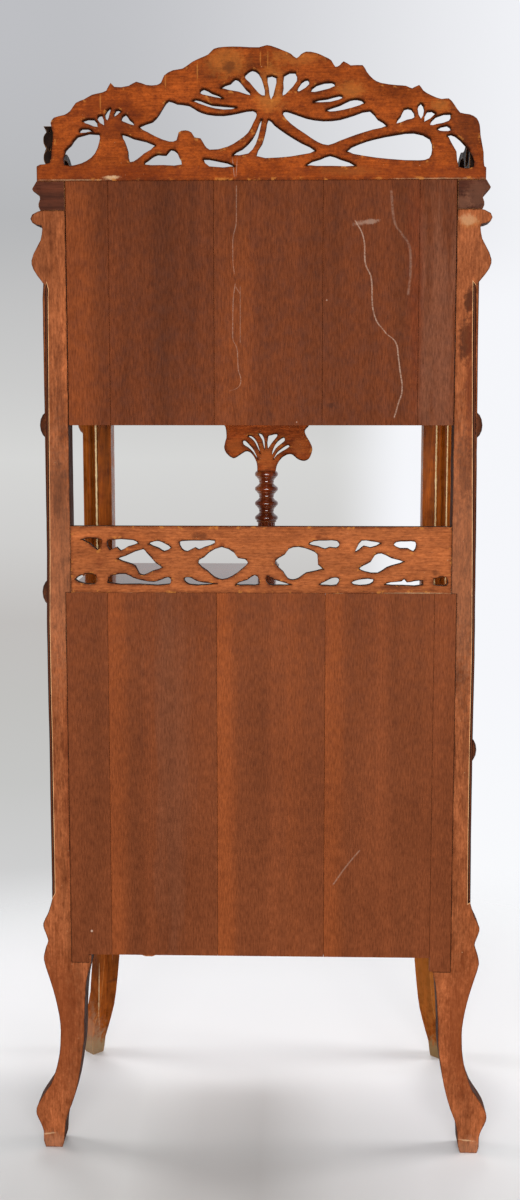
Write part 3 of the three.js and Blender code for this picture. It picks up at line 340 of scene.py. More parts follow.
def raw_finish(name, grain, tones, marks=(), outline=0.0026, blotch=1.0, least=0.35):
    """Raw sawn wood. Its walls, hollows and outline carry painted shade as well as dirt. grain is
    the stretch of its lines along x, y and z, outline the reach of the dirt and painted shade at
    its arrises and inner corners, blotch the strength of its mottling and least that mottling's
    smallest stretch."""
    def darker(red, green, blue):
        return (1 - blotch * red, 1 - blotch * green, 1 - blotch * blue, 1)

    def lighter(red, green, blue):
        return (1 + blotch * red, 1 + blotch * green, 1 + blotch * blue, 1)

    wood = Finish(name)
    lines = wood.along(grain)
    figure = wood.noise(lines, scale=26, detail=4, roughness=0.6, distortion=0.9)
    fibre = wood.noise(lines, scale=420, detail=2, roughness=0.6)
    pores = wood.noise(lines, scale=900, detail=1, roughness=0.5)
    short_lines = wood.along(tuple(max(least, part) for part in grain))
    mottle = wood.noise(short_lines, scale=105, detail=6, roughness=0.7)
    cloud = wood.noise(short_lines, scale=20, detail=5, roughness=0.62)
    speckle = wood.noise(short_lines, scale=380, detail=3, roughness=0.7)
    tone = lay_shades(
        wood, wood.tones(figure, tones),
        (
            (fibre, 0.32, 0.66, (0.8, 0.76, 0.72, 1), (1.15, 1.16, 1.18, 1)),
            (mottle, 0.34, 0.68, darker(0.38, 0.46, 0.54), lighter(0.3, 0.32, 0.36)),
            (cloud, 0.34, 0.66, darker(0.34, 0.4, 0.46), lighter(0.22, 0.24, 0.27)),
            (speckle, 0.36, 0.66, (0.78, 0.74, 0.7, 1), (1.16, 1.18, 1.2, 1)),
        ),
    )
    tone = wood.blend(wood.ease(pores, 0.66, 0.74, 0.0, 0.55), tone, dirt_and_shade)
    tone = lay_marks(wood, tone, marks)
    nicks = wood.noise(wood.places(), scale=190, detail=3, roughness=0.7)
    tone = wood.blend(wood.ease(nicks, 0.69, 0.75, 0.0, 0.6), tone, pale_wear)
    # Walls that face neither front nor rear are darkened: dark stain, and painted shade on the
    # wood's thickness.
    facing_y = wood.axes(wood.facing())[1]
    wall_shade = wood.ease(wood.sum("ABSOLUTE", facing_y), 0.35, 0.93, 0.88, 0.0)
    worn_away = wood.ease(mottle, 0.42, 0.64, 1.0, 0.5)
    # Sharp arrises and inner corners are darkened: dirt, and painted shade in the corners.
    tone = wood.blend(wood.sum("MULTIPLY", arris_share(wood, outline), worn_away), tone, dirt_and_shade)
    # Near the rear outline the wood is darkened: grime of handling, and painted shade of a rounded
    # edge.
    edge = wood.layer("edge")
    grime_and_shade = wood.sum(
        "MULTIPLY", wood.ease(edge, 0.0, 1.0, 0.0, 0.6), wood.ease(mottle, 0.38, 0.6, 1.0, 0.35)
    )
    tone = wood.blend(grime_and_shade, tone, edge_dirt_and_shade)
    # A little further in, ochre strokes: rubbed wood, and painted highlight on the rounded edge.
    strokes = wood.noise(wood.places(), scale=75, detail=3, roughness=0.6)
    rubbed_and_highlit = wood.sum(
        "MULTIPLY", wood.ease(edge, 0.15, 0.5, 0.0, 0.6), wood.ease(strokes, 0.57, 0.67)
    )
    tone = wood.blend(rubbed_and_highlit, tone, ochre)
    # The rim of a rear post is painted: a worn pale line, then painted shade of the post's rounded
    # side.
    rim = wood.layer("rim")
    rim_shade_tone = wood.tones(rim, rim_shade_tones)
    rim_shade_share = wood.sum(
        "MAXIMUM", wood.ease(rim, 0.19, 0.23, 0.0, 0.98),
        wood.sum("MULTIPLY", wood.ease(rim, 0.01, 0.05), wood.ease(mottle, 0.36, 0.6, 0.5, 1.0)),
    )
    tone = wood.blend(rim_shade_share, tone, rim_shade_tone)
    # Over each opening the hollowed rear is darkened: dirt, and painted shade under the overhanging
    # wood.
    hollow_shade = wood.ease(wood.layer("hollow_shade"), 0.05, 0.75, 0.0, 0.92)
    tone = wood.blend(wood.sum("MAXIMUM", wall_shade, hollow_shade), tone, dirt_and_shade)
    height = wood.sum("MULTIPLY_ADD", fibre, 0.6, wood.sum("MULTIPLY", mottle, 0.8))
    roughness = wood.ease(mottle, 0.3, 0.7, 0.55, 0.8)
    return wood.close(tone, roughness, height, raw_relief, {"Specular IOR Level": raw_gloss})


merge_gap = 0.00001
level_angle = math.radians(1.0)
sharp_angle = math.radians(42)
crease_angle = math.radians(35)
wear_waves, fine_wear_waves = 34, 110
step_cut_gap = 0.000001


def finished_copy(node, materials, worn_edge, step=0.0, wear=0.0, carve=None):
    """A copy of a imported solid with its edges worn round. The worn edges take the last material.
    With a step it is cut into short lengths, and carve and wear then shape their corners."""
    mesh = cad_nodes[node].data.copy()
    mesh.name = node + "_finished"
    mesh.materials.clear()
    for material in materials:
        mesh.materials.append(material)
    bm = bmesh.new()
    bm.from_mesh(mesh)
    bmesh.ops.remove_doubles(bm, verts=bm.verts, dist=merge_gap)
    bmesh.ops.dissolve_limit(bm, angle_limit=level_angle, verts=bm.verts, edges=bm.edges)
    for face in bm.faces:
        face.material_index = 0
        face.smooth = True
    sharp = [
        edge for edge in bm.edges
        if len(edge.link_faces) == 2 and edge.calc_face_angle(0.0) > sharp_angle
    ]
    worn = bmesh.ops.bevel(
        bm, geom=sharp, offset=worn_edge, offset_type="OFFSET", affect="EDGES",
        segments=2, profile=0.5, clamp_overlap=True, material=-1,
    )
    worn_faces = set(worn["faces"])
    for face in worn_faces:
        face.material_index = len(materials) - 1
    for edge in bm.edges:
        at_wear = sum(face in worn_faces for face in edge.link_faces) == 1
        if at_wear or edge.calc_face_angle(0.0) > crease_angle:
            edge.smooth = False
    if step > 0:
        cut_up(bm, step)
    if carve:
        carve(bm)
    if wear > 0:
        bm.normal_update()
        for vert in bm.verts:
            dent = noise.noise(vert.co * wear_waves) + 0.5 * noise.noise(vert.co * fine_wear_waves)
            vert.co -= vert.normal * wear * max(0.0, dent)
    bm.to_mesh(mesh)
    bm.free()
    piece = bpy.data.objects.new(node + "_finished", mesh)
    scene.collection.objects.link(piece)
    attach(piece, "root")
    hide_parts(node)


def cut_at(bm, place, facing, reach):
    """Cuts all of a mesh along one plane, and keeps both sides."""
    bmesh.ops.bisect_plane(
        bm, geom=[*bm.verts, *bm.edges, *bm.faces], dist=reach, plane_co=place, plane_no=facing
    )


def cut_up(bm, step):
    """Cuts a mesh across and level, at every step."""
    for axis in (0, 2):
        normal = Vector((axis == 0, 0, axis == 2))
        places = [vert.co[axis] for vert in bm.verts]
        low, high = min(places), max(places)
        for n in range(1, math.ceil((high - low) / step)):
            cut_at(bm, normal * (low + n * step), normal, step_cut_gap)


def tones_round(red, green, blue, spread):
    """A ramp of four tones about one colour."""
    steps = ((0.3, 1 - spread), (0.45, 1 - spread / 4), (0.56, 1 + spread / 4), (0.7, 1 + spread))
    return [
        (place, colour_of(*(min(255, part * share) for part in (red, green, blue))))
        for place, share in steps
    ]


red_brown = colour_of(100, 40, 18)
dark_stain = colour_of(62, 30, 18)
ochre = colour_of(188, 118, 52)
grey_wear = colour_of(160, 132, 108)
green_grey = colour_of(122, 106, 74)
foot_orange = colour_of(118, 55, 24)
leg_marks = [
    (dark_stain, 0.75, (0.312, 1.079, 0.008, 0.018)),
    (dark_stain, 0.75, (0.312, 0.848, 0.008, 0.016)),
    (dark_stain, 0.75, (-0.31, 1.079, 0.008, 0.018)),
    (dark_stain, 0.6, (-0.311, 0.61, 0.008, 0.016)),
    (dark_stain, 0.2, (-0.292, 1.325, 0.02, 0.03)),
    (grey_wear, 0.1, (0.29, 0.9, 0.03, 0.2)),
    (grey_wear, 0.12, (-0.29, 0.9, 0.03, 0.2)),
    (foot_orange, 0.6, (0.31, 0.2, 0.05, 0.12)),
    (foot_orange, 0.6, (-0.31, 0.2, 0.05, 0.12)),
    (red_brown, 0.3, (0.28, 0.55, 0.008, 0.16)),
    (dark_stain, 0.3, (-0.296, 0.6, 0.007, 0.1)),
    (dark_stain, 0.3, (0.292, 0.99, 0.012, 0.04)),
    (dark_stain, 0.8, (-0.2907, 1.2549, 0.008, 0.02)),
    (dark_stain, 0.75, (-0.2875, 1.2013, 0.011, 0.03)),
    (red_brown, 0.5, (-0.2965, 1.15, 0.009, 0.12)),
    (dark_stain, 0.45, (-0.2891, 1.0203, 0.013, 0.05)),
    (ochre, 0.25, (-0.289, 1.363, 0.014, 0.009)),
    (pale_wear, 0.35, (-0.287, 1.366, 0.012, 0.008)),
    (dark_stain, 0.4, (0.283, 1.12, 0.006, 0.09)),
    (grey_wear, 0.2, (0.315, 0.004, 0.03, 0.02)),
    (grey_wear, 0.2, (-0.315, 0.004, 0.03, 0.02)),
    (pale_wear, 0.5, (0.322, 0.021, 0.012, 0.0012, 8.0)),
    (pale_wear, 0.6, (-0.308, 0.02, 0.012, 0.0012, -6.0)),
]
upright_raw = raw_finish(
    "upright_raw_wood", upright_grain, tones_round(146, 81, 46, 0.14), leg_marks, outline=0.0028
)
worn_arris = raw_finish(
    "worn_arris", (1, 1, 1),
    [(0.34, colour_of(60, 28, 14)), (0.5, colour_of(130, 72, 38)), (0.6, colour_of(206, 160, 118)),
     (0.72, colour_of(110, 58, 30))],
    outline=0.0002,
)
post_foot, post_foot_x = 0.387, 0.308
post_top, post_top_x = 1.277, 0.3
rim_wide = 0.0052
rim_deep = 0.196
rim_cut_gap = 0.00002
rim_slack = 0.0001
rim_start = 0.0005
ear_gap = -0.0008
sawn_edge = 0.0009
post_step = 0.012
post_wear = 0.0005
swell_right = [
    (0.42, 0.0), (0.54, 0.0012), (0.63, 0.0018), (0.68, 0.0028), (0.8, 0.004), (0.9, 0.003),
    (1.26, 0.0026), (1.3, 0.0),
]
swell_left = [(0.49, 0.0), (0.63, 0.001), (0.76, 0.0028), (0.8, 0.0029), (0.92, 0.0024), (1.2, 0.0)]


def between(points, value):
    """The height of a line through a few points."""
    for (low, first), (high, last) in zip(points, points[1:]):
        if low <= value <= high:
            return first + (last - first) * (value - low) / (high - low)
    return 0.0


def edge_post(bm):
    """Swells a post's outer face a little, and marks the rim along its outer arris, which is
    painted dark as shade of the post's rounded side. The layer rim is 1 at the arris and 0 at the
    rim's inner edge."""
    out = 1 if sum(vert.co.x for vert in bm.verts) > 0 else -1
    lean = (post_top_x - post_foot_x) / (post_top - post_foot)
    for place, facing in (
        ((out * (post_foot_x - rim_wide), 0, post_foot), (out, 0, -lean)),
        ((0, rim_deep, 0), (0, 1, 0)),
    ):
        cut_at(bm, place, facing, rim_cut_gap)
    rim = bm.verts.layers.float.new("rim")
    for vert in bm.verts:
        level = vert.co.z
        gap = post_foot_x + lean * (min(level, post_top) - post_foot) - abs(vert.co.x)
        if gap > rim_wide + rim_slack:
            continue
        vert.co.x += out * between(swell_right if out > 0 else swell_left, level)
        if post_foot < level < post_top and vert.co.y > rim_deep + rim_start and gap > ear_gap:
            vert[rim] = min(1.0, max(0.0, 1 - gap / rim_wide))


for side in ("left", "right"):
    finished_copy(
        "rear_leg_" + side, [upright_raw, worn_arris], sawn_edge, post_step, post_wear,
        edge_post,
    )

# The front legs: reeded posts on slim feet that stand on a corner, polished golden brown. The
# polish is worn off their arrises, which also carry a painted highlight, thin pale lines down the
# reeds are painted highlights, and the feet have gone grey near the floor.
unpolished = 0.9
underside = (-0.95, -0.7)
least_matt, most_matt = 0.75, 1.35
polished_relief = (0.25, 0.0004)
coat_roughness = 0.1
rubbed_and_highlight_reach = 0.0016
crisp_edge = 0.0008


def polished_finish(name, grain, tones, roughness, gloss=0.25, coat=0.0, marks=(), worn=0.55):
    """Polished wood. Undersides are left unpolished, and worn is how bare its arrises are and how
    strong the painted highlight along them.
    """
    wood = Finish(name)
    lines = wood.along(grain)
    figure = wood.noise(lines, scale=30, detail=5, roughness=0.62, distortion=1.3)
    fibre = wood.noise(lines, scale=360, detail=3, roughness=0.6)
    pores = wood.noise(lines, scale=760, detail=1, roughness=0.5)
    mottle = wood.noise(wood.places(), scale=52, detail=5, roughness=0.62)
    cloud = wood.noise(wood.places(), scale=13, detail=3, roughness=0.5)
    tone = lay_shades(
        wood, wood.tones(figure, tones),
        (
            (fibre, 0.34, 0.66, (0.76, 0.7, 0.64, 1), (1.14, 1.15, 1.16, 1)),
            (mottle, 0.34, 0.66, (0.78, 0.72, 0.66, 1), (1.14, 1.15, 1.16, 1)),
            (cloud, 0.34, 0.66, (0.86, 0.82, 0.78, 1), (1.1, 1.11, 1.12, 1)),
        ),
    )
    tone = wood.blend(wood.ease(pores, 0.64, 0.74, 0.0, 0.5), tone, dirt_and_shade)
    tone = lay_marks(wood, tone, marks)
    # Arrises are lightened to rubbed gold: bare wood where the polish is worn, and a painted
    # highlight.
    bare_and_highlit = wood.ease(mottle, 0.36, 0.6, 0.15, worn)
    rubbed_and_highlit = wood.sum("MULTIPLY", arris_share(wood, rubbed_and_highlight_reach), bare_and_highlit)
    tone = wood.blend(rubbed_and_highlit, tone, rubbed_gold_and_highlight)
    polished = wood.ease(wood.axes(wood.facing())[2], *underside)
    matt = wood.ease(
        mottle, 0.3, 0.7, roughness * least_matt - unpolished, roughness * most_matt - unpolished
    )
    matt = wood.sum("MULTIPLY_ADD", polished, matt, unpolished)
    height = wood.sum("MULTIPLY_ADD", fibre, 0.7, wood.sum("MULTIPLY", mottle, 0.6))
    return wood.close(
        tone, matt, height, polished_relief,
        {"Specular IOR Level": gloss, "Coat Weight": coat, "Coat Roughness": coat_roughness},
    )


# Rubbed gold for arrises: bare wood where the polish is worn, and a painted highlight.
rubbed_gold_and_highlight = colour_of(196, 138, 78)
# A pale gold for painted highlights down the reeds.
pale_gold_highlight = colour_of(238, 210, 158)
foot_marks = [
    (dark_stain, 0.22, (0.28, 0.2, 0.06, 0.15)),
    (ochre, 0.3, (-0.28, 0.2, 0.06, 0.15)),
    # Thin pale lines down the reeds: painted highlights.
    (pale_gold_highlight, 1.0, (-0.2777, 1.0, 0.0014, 0.35)),
    (pale_gold_highlight, 0.7, (-0.2955, 1.0, 0.001, 0.35)),
    (pale_gold_highlight, 1.0, (0.2812, 1.0, 0.0014, 0.35)),
    (pale_gold_highlight, 0.45, (0.2872, 0.11, 0.001, 0.05)),
    (green_grey, 0.8, (0.298, 0.0, 0.05, 0.034)),
    (green_grey, 0.8, (-0.298, 0.0, 0.05, 0.034)),
    (grey_wear, 0.35, (0.3, 0.02, 0.02, 0.06)),
    (dark_stain, 0.5, (0.262, 0.128, 0.012, 0.003)),
]
upright_polished = polished_finish(
    "upright_polished_wood", upright_grain, tones_round(134, 66, 16, 0.26), roughness=0.3,
    gloss=0.03, marks=foot_marks,
)
for side in ("left", "right"):
    finished_copy("front_leg_" + side, [upright_polished], crisp_edge)

# The base: a board between two side aprons, with a shaped front apron. Three raw, roughly cut glue
# blocks sit under the board.
soft_edge = 0.0012
block_step = 0.006
block_wear = 0.0006
level_polished = polished_finish(
    "level_polished_wood", level_grain, tones_round(126, 62, 20, 0.2), roughness=0.3
)
for node in ("side_apron_left", "side_apron_right", "front_apron"):
    finished_copy(node, [level_polished], soft_edge)
shelf_wood = polished_finish(
    "shelf_wood", level_grain, tones_round(120, 58, 20, 0.18), roughness=0.1, gloss=0.85
)
finished_copy("base_board", [shelf_wood], crisp_edge)
for node in ("glue_block_rear", "glue_block_front_left", "glue_block_front_right"):
    finished_copy(
        node, [upright_raw, worn_arris], soft_edge, block_step, block_wear
    )

# The lower shelves: a low one and a high one on bearers, and the partition between them with its
# reeded front edge. The high shelf is polished to a mirror on top.
for node in ("shelf_bearer_left", "shelf_bearer_right"):
    finished_copy(node, [level_polished], crisp_edge)
for node in ("low_shelf", "high_shelf"):
    finished_copy(node, [shelf_wood], soft_edge)
for node in ("partition", "partition_edge"):
    finished_copy(node, [upright_polished], crisp_edge)

# The gallery rail: one pierced board under the open middle tier, a little lighter than the legs.
# Its front is carved round towards every opening, and its rear face is flat and raw.
carve_reach = 0.0055
edge_layer_reach = 0.006
carve_step = 0.003
skin = 0.002
line_step = 0.001
corner_angle = math.radians(12)
flat_least = 0.99
overhang = -0.25
ripple_high, ripple_waves = 0.0003, 150


def carve_relief(bm, front_deep, rear_deep, rear_reach):
    """Rounds the front of a pierced board off towards its outline, and hollows its rear face out
    over each opening. The hollowing layer says how far a place is hollowed, and so how much
    painted shade it gets under the wood above the opening. The layer edge says how near a place is
    to the outline of the rear face, which sets the painted shade and highlight along it."""
    bm.normal_update()
    ys = [vert.co.y for vert in bm.verts]
    front, rear = min(ys), max(ys)
    foot = min(vert.co.z for vert in bm.verts) + skin
    front_line, rear_line, rear_edges = [], [], []
    for edge in bm.edges:
        if len(edge.link_faces) != 2 or edge.calc_face_angle(0.0) < corner_angle:
            continue
        first, last = (vert.co for vert in edge.verts)
        flat = [face for face in edge.link_faces if abs(face.normal.y) > flat_least]
        if len(flat) != 1:
            continue
        other = next(face for face in edge.link_faces if face is not flat[0])
        pieces = max(1, math.ceil((last - first).length / line_step))
        points = [first.lerp(last, n / pieces) for n in range(pieces + 1)]
        if flat[0].normal.y < 0:
            front_line += points
            continue
        rear_edges += points
        if other.normal.z < overhang and first.z > foot:
            rear_line += points
    hollow_shade = bm.verts.layers.float.new("hollow_shade")
    edge_layer = bm.verts.layers.float.new("edge")
    for line, at_front, deep, width, layer in (
        (front_line, True, front_deep, carve_reach, None),
        (rear_line, False, rear_deep, rear_reach, hollow_shade),
        (rear_edges, False, 0.0, edge_layer_reach, edge_layer),
    ):
        if not line:
            continue
        tree = kdtree.KDTree(len(line))
        for n, point in enumerate(line):
            tree.insert((point.x, 0, point.z), n)
        tree.balance()
        for vert in bm.verts:
            if at_front and vert.co.y > front + skin or not at_front and vert.co.y < rear - skin:
                continue
            away = tree.find((vert.co.x, 0, vert.co.z))[2]
            near = max(0.0, 1 - away / width)
            if at_front:
                ripple = ripple_high * noise.noise(vert.co * ripple_waves)
                vert.co.y += deep * (1 - math.sqrt(1 - near * near)) + max(0.0, ripple)
            else:
                vert.co.y -= deep * near * near
                vert[layer] = near
    bmesh.ops.triangulate(bm, faces=bm.faces)


def carved_copy(node, wood, step, front_deep, rear_deep, rear_reach):
    """A pierced board of raw wood, with its relief."""
    finished_copy(
        node, [wood, worn_arris], sawn_edge, step,
        carve=lambda bm: carve_relief(bm, front_deep, rear_deep, rear_reach),
    )


gallery_marks = [
    (pale_wear, 0.6, (-0.222, 0.845, 0.05, 0.0009)),
    (dark_stain, 0.6, (0.087, 0.9265, 0.012, 0.005)),
    (red_brown, 0.6, (0.0549, 0.9133, 0.004, 0.003)),
    (red_brown, 0.6, (-0.0821, 0.925, 0.004, 0.003)),
    (dark_stain, 0.5, (-0.1823, 0.8522, 0.026, 0.003)),
    (dark_stain, 0.55, (-0.2504, 0.8739, 0.006, 0.005)),
    (red_brown, 0.35, (0.23, 0.8885, 0.006, 0.007)),
]
gallery_wood = raw_finish(
    "gallery_wood", level_grain, tones_round(156, 86, 46, 0.1), gallery_marks, blotch=0.55
)
carved_copy(
    "gallery_rail", gallery_wood, carve_step, front_deep=0.004, rear_deep=0.0, rear_reach=0.001
)

# The floor of the upper tier: a board that is polished on top, on its two side rails between the
# posts.
finished_copy("upper_floor", [shelf_wood], soft_edge)
for node in ("upper_side_rail_left", "upper_side_rail_right"):
    finished_copy(node, [level_polished], crisp_edge)

# The flat bracket under the upper floor, sawn to two lobes and pierced with a fan of six slits.
# Its rear is raw wood with level grain, lighter low down where the slits meet.
bracket_marks = [
    (colour_of(176, 96, 44), 0.5, (-0.002, 1.03, 0.02, 0.024)),
    (colour_of(170, 92, 42), 0.4, (0.05, 1.045, 0.014, 0.014)),
    (colour_of(170, 92, 42), 0.4, (-0.055, 1.045, 0.014, 0.014)),
]
bracket_wood = raw_finish(
    "bracket_wood", level_grain, tones_round(150, 70, 28, 0.12), bracket_marks
)
carved_copy(
    "capital_bracket", bracket_wood, carve_step, front_deep=0.004, rear_deep=0.002, rear_reach=0.002
)

# The ringed column: one turning of dark red wood, polished, with four sharp rings, a thin flange,
# a reeded shaft and a round foot that is let into the high shelf.
turned_red = polished_finish(
    "turned_red_wood", upright_grain, tones_round(98, 40, 16, 0.24), roughness=0.2, gloss=0.5,
    # The golden patch on one side of the rings is a painted highlight.
    coat=0.3, marks=[(colour_of(150, 84, 34), 0.5, (0.014, 0.99, 0.006, 0.03))],
    worn=0.35,
)
column_y = -0.134
column_steps = 96
column_reeds = 16
reeds_low, reeds_high = 0.857, 0.9202
reed_hollow, reed_rise = 0.0127, 0.0016
ring_count = 3
ring_pitch = 0.0238
first_ring = 0.9992
last_ring_out = 0.019
column_crease = math.radians(50)
ring_line = [
    (0.0, 0.019), (0.06, 0.0189), (0.11, 0.0185), (0.15, 0.0178), (0.18, 0.017), (0.205, 0.016),
    (0.22, 0.0155), (0.24, 0.0155), (0.27, 0.0153), (0.295, 0.0146), (0.32, 0.0139), (0.36, 0.0133),
    (0.4, 0.0128), (0.43, 0.0123), (0.45, 0.0121), (0.49, 0.0123), (0.53, 0.0123), (0.57, 0.012),
    (0.6, 0.0115), (0.62, 0.0114), (0.65, 0.012), (0.68, 0.0126), (0.7, 0.0128), (0.73, 0.0134),
    (0.78, 0.0148), (0.83, 0.0164), (0.87, 0.0176), (0.91, 0.0184), (0.95, 0.0188),
]
head_line = [(0.0, 1.004), (0.0162, 1.004), (0.0172, 1.0035), (0.0184, 1.0018), (0.0189, 1.0004)]
shaft_line = [
    (0.0189, 0.9266), (0.0184, 0.9254), (0.0174, 0.9242), (0.016, 0.9234), (0.0152, 0.923),
    (0.0158, 0.9229), (0.0164, 0.9224), (0.0164, 0.9212), (0.0158, 0.9206), (0.0143, 0.9205),
    (0.0143, 0.92), (0.0143, 0.89), (0.0143, 0.8572), (0.0143, 0.857), (0.0155, 0.8566),
    (0.0171, 0.8557), (0.0182, 0.854), (0.0189, 0.8512), (0.0189, 0.8484), (0.0186, 0.848),
    (0.0, 0.848),
]
column_line = head_line + [
    (out, first_ring - (n + share) * ring_pitch) for n in range(ring_count)
    for share, out in ring_line
] + [(last_ring_out, first_ring - ring_count * ring_pitch)] + shaft_line
column_mesh = bpy.data.meshes.new("ringed_column_finished")
bm = bmesh.new()
line = [bm.verts.new((out, column_y, z)) for out, z in column_line]
for first, last in zip(line, line[1:]):
    bm.edges.new((first, last))
bmesh.ops.spin(
    bm, geom=[*bm.verts, *bm.edges], cent=(0, column_y, 0), axis=(0, 0, 1), angle=2 * math.pi,
    steps=column_steps, use_merge=True,
)
bmesh.ops.remove_doubles(bm, verts=bm.verts, dist=merge_gap)
bmesh.ops.recalc_face_normals(bm, faces=bm.faces)
for vert in bm.verts:
    out = math.hypot(vert.co.x, vert.co.y - column_y)
    if reeds_low < vert.co.z < reeds_high:
        turn = math.atan2(vert.co.y - column_y, vert.co.x)
        reeded = reed_hollow + reed_rise * abs(math.sin(turn * column_reeds / 2))
        vert.co.x *= reeded / out
        vert.co.y = column_y + (vert.co.y - column_y) * reeded / out
for face in bm.faces:
    face.smooth = True
for edge in bm.edges:
    if edge.calc_face_angle(0.0) > column_crease:
        edge.smooth = False
bm.to_mesh(column_mesh)
bm.free()
column_mesh.materials.append(turned_red)
column = bpy.data.objects.new("ringed_column_finished", column_mesh)
scene.collection.objects.link(column)
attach(column, "root")
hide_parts("ringed_column")

# The back boards: thin planed boards nailed side by side, stained dark red brown by age, with
# lighter streaks along one side of the wider ones and a few chalky scratches.
chalk = colour_of(190, 160, 140)
board_edge = 0.0004
scratch_margin = 0.001
scratch_fade = 0.002
scratch_core, scratch_rim = 0.4, 1.6
board_grain = (1.0, 1.0, 0.02)
fleck_grain = (1.0, 1.0, 0.16)
streak_grain = (1.0, 1.0, 0.1)
cloud_grain = (1.0, 1.0, 0.4)
ragged_wide = 0.02
rear_facing = (0.2, 0.6)
board_relief = (0.35, 0.0005)
boards_in_panel = 5
photo_wide, photo_tall = 520, 1200
photo_roll = -0.0007
rear_y = 0.2


def seen_at(across, down):
    """The x and z where the line of sight through a pixel of the photograph meets the plane of
    the posts' rear faces."""
    focal = photo_tall * photo_lens_mm / long_side_mm
    sight = Vector((across - photo_wide / 2, photo_tall / 2 - down, -focal))
    sight = camera.rotation_euler.to_matrix() @ Matrix.Rotation(photo_roll, 3, "Z") @ sight
    reach = (rear_y - camera_place[1]) / sight.y
    return camera_place[0] + reach * sight.x, camera_place[2] + reach * sight.z


def chalk_line(wood, points, half_wide):
    """A scratch that runs down through points: 1 along it and 0 elsewhere."""
    x, _, z = wood.axes(wood.places())
    xs, zs = zip(*points)
    left, right = min(xs) - scratch_margin, max(xs) + scratch_margin
    low, high = min(zs), max(zs)
    bend = wood.put("ShaderNodeFloatCurve", {"Value": wood.ease(z, low, high)})
    bend.inputs["Value"].links[0].from_node.interpolation_type = "LINEAR"
    curve = bend.mapping.curves[0]
    shares = sorted(
        ((point_z - low) / (high - low), (point_x - left) / (right - left))
        for point_x, point_z in points
    )
    while len(curve.points) < len(shares):
        curve.points.new(0.5, 0.5)
    for point, (place, value) in zip(curve.points, shares):
        point.location = (place, value)
        point.handle_type = "AUTO_CLAMPED"
    bend.mapping.update()
    line_x = wood.sum("MULTIPLY_ADD", bend.outputs[0], right - left, left)
    away = wood.sum("ABSOLUTE", wood.sum("SUBTRACT", x, line_x))
    ends = wood.sum(
        "MULTIPLY", wood.ease(z, low - scratch_margin, low + scratch_fade),
        wood.ease(z, high + scratch_margin, high - scratch_fade),
    )
    near = wood.ease(away, half_wide * scratch_rim, half_wide * scratch_core)
    return wood.sum("MULTIPLY", near, ends)


joint_half = 0.0002
tongue_wide, tongue_deep = 0.0008, 0.003
tongue_tall_share = 0.99
tongue_inset = 0.0001


def joint_tongue(bm):
    """The tongue of a board, which closes its joint with the next one."""
    low, high = (
        Vector([end(vert.co[axis] for vert in bm.verts) for axis in range(3)])
        for end in (min, max)
    )
    middle = Vector((low.x + tongue_inset, (low.y + high.y) / 2, (low.z + high.z) / 2))
    size = (tongue_wide, tongue_deep, (high.z - low.z) * tongue_tall_share, 1)
    bmesh.ops.create_cube(bm, size=1.0, matrix=Matrix.Translation(middle) @ Matrix.Diagonal(size))


def board_finish(name, tones, light_sides, streaks, marks, scratches):
    """Planed wood. light_sides are the joints with a lighter strip beside them, with its width
    and strength. streaks lie under the grain and marks over it. scratches are chalky, and each
    follows pixels of the photograph."""
    wood = Finish(name)
    lines = wood.along(board_grain)
    flecks = wood.along(fleck_grain)
    figure = wood.noise(lines, scale=34, detail=3, roughness=0.5, distortion=0.3)
    fibre = wood.noise(flecks, scale=520, detail=3, roughness=0.7)
    pores = wood.noise(flecks, scale=1100, detail=1, roughness=0.5)
    mottle = wood.noise(wood.places(), scale=60, detail=5, roughness=0.6)
    cloud = wood.noise(wood.along(cloud_grain), scale=9, detail=3, roughness=0.5)
    tone = wood.tones(figure, tones)
    ragged = wood.noise(wood.along(streak_grain), scale=60, detail=3, roughness=0.6)
    for colour, strength, place in streaks:
        tone = wood.blend(wood.sum("MULTIPLY", mark(wood, ragged, *place), strength), tone, colour)
    x = wood.axes(wood.places())[0]
    across = wood.sum("MULTIPLY_ADD", wood.sum("SUBTRACT", ragged, 0.5), ragged_wide, x)
    for joint, wide, strength in light_sides:
        side = wood.sum(
            "MULTIPLY", wood.ease(across, joint - wide, joint - wide / 3),
            wood.ease(x, joint + joint_half, joint - joint_half),
        )
        tone = wood.blend(wood.sum("MULTIPLY", side, strength), tone, orange_streak)
    tone = lay_shades(
        wood, tone,
        (
            (fibre, 0.34, 0.66, (0.74, 0.7, 0.66, 1), (1.26, 1.29, 1.33, 1)),
            (mottle, 0.34, 0.66, (0.9, 0.88, 0.86, 1), (1.1, 1.11, 1.13, 1)),
            (cloud, 0.34, 0.66, (0.88, 0.87, 0.86, 1), (1.08, 1.09, 1.1, 1)),
        ),
    )
    tone = wood.blend(wood.ease(pores, 0.64, 0.76, 0.0, 0.4), tone, dirt_and_shade)
    plain_tone = tone
    tone = lay_marks(wood, tone, marks)
    gaps = wood.noise(wood.places(), scale=420, detail=3, roughness=0.7)
    broken = wood.ease(gaps, 0.35, 0.6, 0.3, 1.0)
    for pixels, half_wide, strength in scratches:
        points = [seen_at(*pixel) for pixel in pixels]
        share = wood.sum("MULTIPLY", chalk_line(wood, points, half_wide), broken)
        tone = wood.blend(wood.sum("MULTIPLY", share, strength), tone, chalk)
    facing_y = wood.axes(wood.facing())[1]
    tone = wood.blend(wood.ease(facing_y, *rear_facing), plain_tone, tone)
    roughness = wood.ease(mottle, 0.3, 0.7, 0.5, 0.7)
    return wood.close(tone, roughness, fibre, board_relief, {"Specular IOR Level": raw_gloss})


